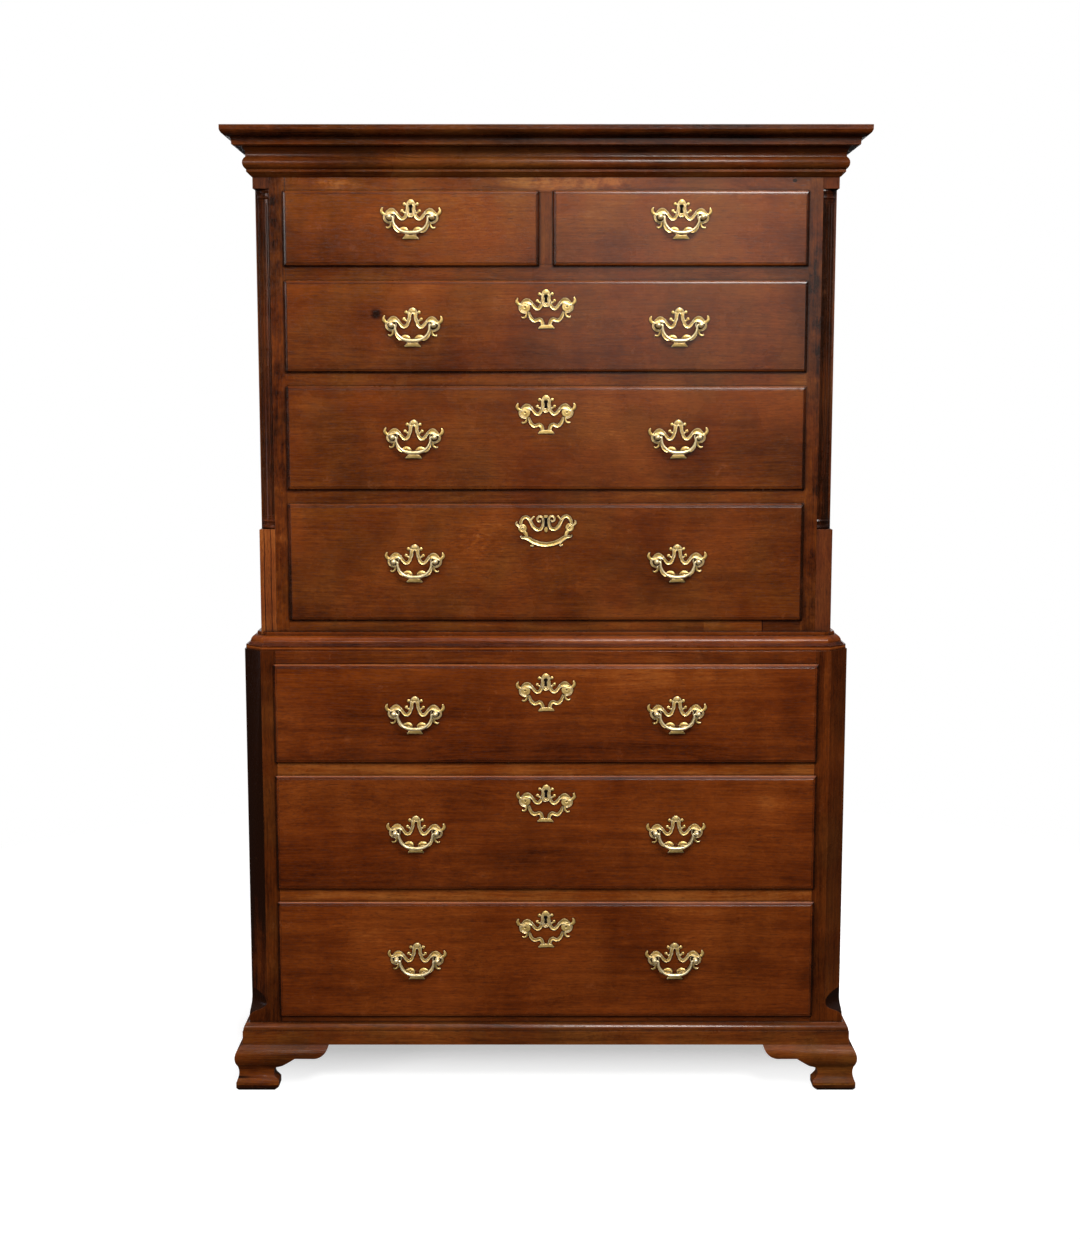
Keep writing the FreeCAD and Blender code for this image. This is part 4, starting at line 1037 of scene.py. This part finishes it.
def build_handles(meshes):
    """Plate, posts, nuts and grip about each bail's hinge."""
    for joint in frame["joints"]:
        if joint["type"] != "hinge":
            continue
        bail, drawer = joint["child"], joint["parent"]
        x, y, z = joint["pos_m"]
        face = y + POST_AXIS_OUT + PLATE_THICK
        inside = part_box(drawer + "_front")[1].y
        stem = bail.replace("_bail", "")
        short = drawer in SHORT_DRAWERS
        tilt = SHORT_TILT if short else HANDLE_TILTS[stem.rsplit("_", 1)[1]]
        show(stem + "_plate", meshes["key" if short else "arch"], drawer, (x, face, z), math.radians(tilt),
             replaces=(drawer + "_brasses",))
        for side, word in ((-1, "a"), (1, "b")):
            across = x + side * POST_HALF
            show(stem + "_post_" + word, meshes["post"], drawer, (across, face - PLATE_THICK, z))
            show(stem + "_nut_" + word, meshes["nut"], drawer, (across, inside, z))
        show(bail + "_grip", meshes["bail"], bail, (x, y, z), replaces=(bail,))
        if short:
            show(stem + "_keyhole", meshes["keyhole"], drawer, (x, face, z))
            show(stem + "_key_rim", meshes["key_rim"], drawer, (x, face, z))


def build_key_plates(meshes):
    """A keyhole and its plate at the middle of each long drawer."""
    for drawer in LONG_DRAWERS:
        low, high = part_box(drawer + "_front")
        key = high.z - LIP_OVERLAP - KEYHOLE_DROP
        bosses = (0.0, low.y, key - KEY_ABOVE_POSTS)
        turn = math.radians(-KEY_PLATE_TILTS[drawer])
        if drawer == "upper_drawer_3":
            show(drawer + "_key_plate", meshes["crescent"], drawer, (0.0, low.y, key), turn)
        else:
            show(drawer + "_key_plate", meshes["scutcheon"], drawer, bosses, turn)
            show(drawer + "_key_rim", meshes["key_rim"], drawer, bosses, turn)
        show(drawer + "_keyhole", meshes["keyhole"], drawer, bosses, turn)


def build_locks(meshes):
    """A bolt's iron, and a lock behind the middle of each drawer front, level with the brasses' top."""
    for drawer in DRAWERS:
        low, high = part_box(drawer + "_front")
        dress(drawer + "_lock_bolt", iron(drawer + "_bolt_iron"))
        show(drawer + "_lock", meshes["lock"], drawer,
             ((low.x + high.x) / 2, high.y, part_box(drawer + "_brasses")[1].z))


# ---- floor, room, lights and camera ----
FLOOR_HALF = 14.0
FLOOR_CLOUD = (1.5, 3.0)       # cells per metre, detail
FLOOR_PAPER = [(0.3, (0.86, 0.86, 0.86)), (0.7, (0.90, 0.90, 0.90))]
FLOOR_GLOW = (0.48, 0.48, 0.48)
BLACK, WHITE = (0.0, 0.0, 0.0), (1.0, 1.0, 1.0)
SHADE_END = (0.75, 2.2)        # from the piece's middle: where shadows start to fade, and are gone
SHADE_FRONT = (0.19, 0.01)     # behind the lower case's front: where they start to fade, and are faint
ROOM = (0.95, 0.97, 1.0)
ROOM_RISE = {"From Min": 0.05, "From Max": 0.7, "To Min": 0.04, "To Max": 0.28}    # its light, by direction

MIDDLE = (0.0, 0.0, 0.9)
WARM, MILD, COOL = (1.0, 0.98, 0.95), (1.0, 0.98, 0.96), (0.80, 0.86, 1.0)
# place, what it looks at, width and height, watts, colour
LIGHTS = {
    "key": ((1.3, -3.5, 4.3), MIDDLE, (2.0, 1.6), 300, WARM),
    "fill": ((-3.9, -3.9, 2.0), MIDDLE, (1.6, 2.0), 180, MILD),
    "sparkle": ((-3.2, -4.4, 2.4), MIDDLE, (1.2, 1.2), 45, MILD),
    "top": ((0.0, -1.2, 3.9), (0.0, -0.25, 1.2), (3.4, 0.6), 22, WHITE),
    "haze": ((0.62, -4.6, 1.95), (0.3, 0.0, 1.4), (1.3, 1.1), 10, WARM),
    "window": ((-3.4, -0.80, 0.95), (-0.5, -0.25, 0.85), (0.4, 0.5), 2, COOL),
    "back": ((0.0, 3.2, 2.6), MIDDLE, (3.0, 2.0), 60, WHITE)}

FOCAL_PIXELS, HEIGHT_PIXELS = 1747.0, 1239.0    # focal length and height of the picture
SENSOR = 36.0                  # its height on the sensor, in mm
CAMERA_X, CAMERA_AWAY, CAMERA_HEIGHT = -0.011, 3.2, 1.302
CAMERA_DOWN = 7.2              # degrees below level


def build_floor():
    """Pale paper that glows: faintly under and behind the piece, where it keeps its shadow, and white away
    from it and in front of it, where the glow washes the shadow out.
    """
    s = Shader("floor_paper")
    x, y = s.axis("X"), s.axis("Y")
    away = s.math("SQRT", s.plus(s.times(x, x), s.times(y, y)))
    front = s.span(y, LOWER_FRONT + SHADE_FRONT[0], LOWER_FRONT + SHADE_FRONT[1], 0.0, 0.9)
    white_glow = s.math("MAXIMUM", s.span(away, *SHADE_END), front)
    paper = s.ramp(s.cloud(*FLOOR_CLOUD), FLOOR_PAPER)
    s.surface(Base_Color=s.mix(white_glow, paper, BLACK), Emission_Color=s.mix(white_glow, FLOOR_GLOW, WHITE),
              Emission_Strength=1.0, Roughness=0.9, Specular_IOR_Level=0.0)
    mesh = bpy.data.meshes.new("floor")
    corners = [(a * FLOOR_HALF, b * FLOOR_HALF, 0) for a, b in ((-1, -1), (1, -1), (1, 1), (-1, 1))]
    mesh.from_pydata(corners, [], [(0, 1, 2, 3)])
    mesh.materials.append(s.material)
    floor = bpy.data.objects.new("floor", mesh)
    bpy.context.scene.collection.objects.link(floor)
    floor.visible_glossy = False
    floor.visible_diffuse = False


def build_room():
    """A white backdrop for the camera, and a dim room, lighter overhead, for the piece itself."""
    world = bpy.data.worlds.new("studio")
    bpy.context.scene.world = world
    world.use_nodes = True
    tree = world.node_tree
    tree.nodes.clear()
    out, mix, seen, sky, split, lift, room, white = [tree.nodes.new("ShaderNode" + kind) for kind in (
        "OutputWorld", "MixShader", "LightPath", "TexCoord", "SeparateXYZ", "MapRange",
        "Background", "Background")]
    for name, number in ROOM_RISE.items():
        lift.inputs[name].default_value = number
    room.inputs["Color"].default_value = (*ROOM, 1.0)
    white.inputs["Color"].default_value = (*WHITE, 1.0)
    for a, b in (
            (sky.outputs["Generated"], split.inputs[0]), (split.outputs["Z"], lift.inputs["Value"]),
            (lift.outputs["Result"], room.inputs["Strength"]), (seen.outputs["Is Camera Ray"], mix.inputs[0]),
            (room.outputs[0], mix.inputs[1]), (white.outputs[0], mix.inputs[2]),
            (mix.outputs[0], out.inputs["Surface"])):
        tree.links.new(a, b)


def area_light(name, at, look, size, energy, colour):
    data = bpy.data.lights.new(name, "AREA")
    data.shape = "RECTANGLE"
    data.size, data.size_y = size
    data.energy = energy
    data.color = colour
    o = bpy.data.objects.new(name, data)
    bpy.context.scene.collection.objects.link(o)
    o.location = at
    o.rotation_euler = (Vector(look) - Vector(at)).to_track_quat("-Z", "Y").to_euler()
    return o


def build_lights():
    lamps = {name: area_light(name, *light) for name, light in LIGHTS.items()}
    lamps["fill"].visible_glossy = False
    lamps["sparkle"].visible_diffuse = False


def build_camera():
    data = bpy.data.cameras.new("camera")
    data.lens = FOCAL_PIXELS / HEIGHT_PIXELS * SENSOR
    data.clip_end = 60.0
    camera = bpy.data.objects.new("camera", data)
    bpy.context.scene.collection.objects.link(camera)
    camera.location = (CAMERA_X, LOWER_FRONT - CAMERA_AWAY, CAMERA_HEIGHT)
    camera.rotation_euler = (math.radians(90 - CAMERA_DOWN), 0.0, 0.0)
    bpy.context.scene.camera = camera
    view = bpy.context.scene.view_settings
    view.view_transform = "Standard"
    view.look = "None"


build_camera()
build_floor()
build_room()
build_lights()
build_wood()
brasses = brass_meshes()
build_handles(brasses)
build_key_plates(brasses)
build_locks(brasses)
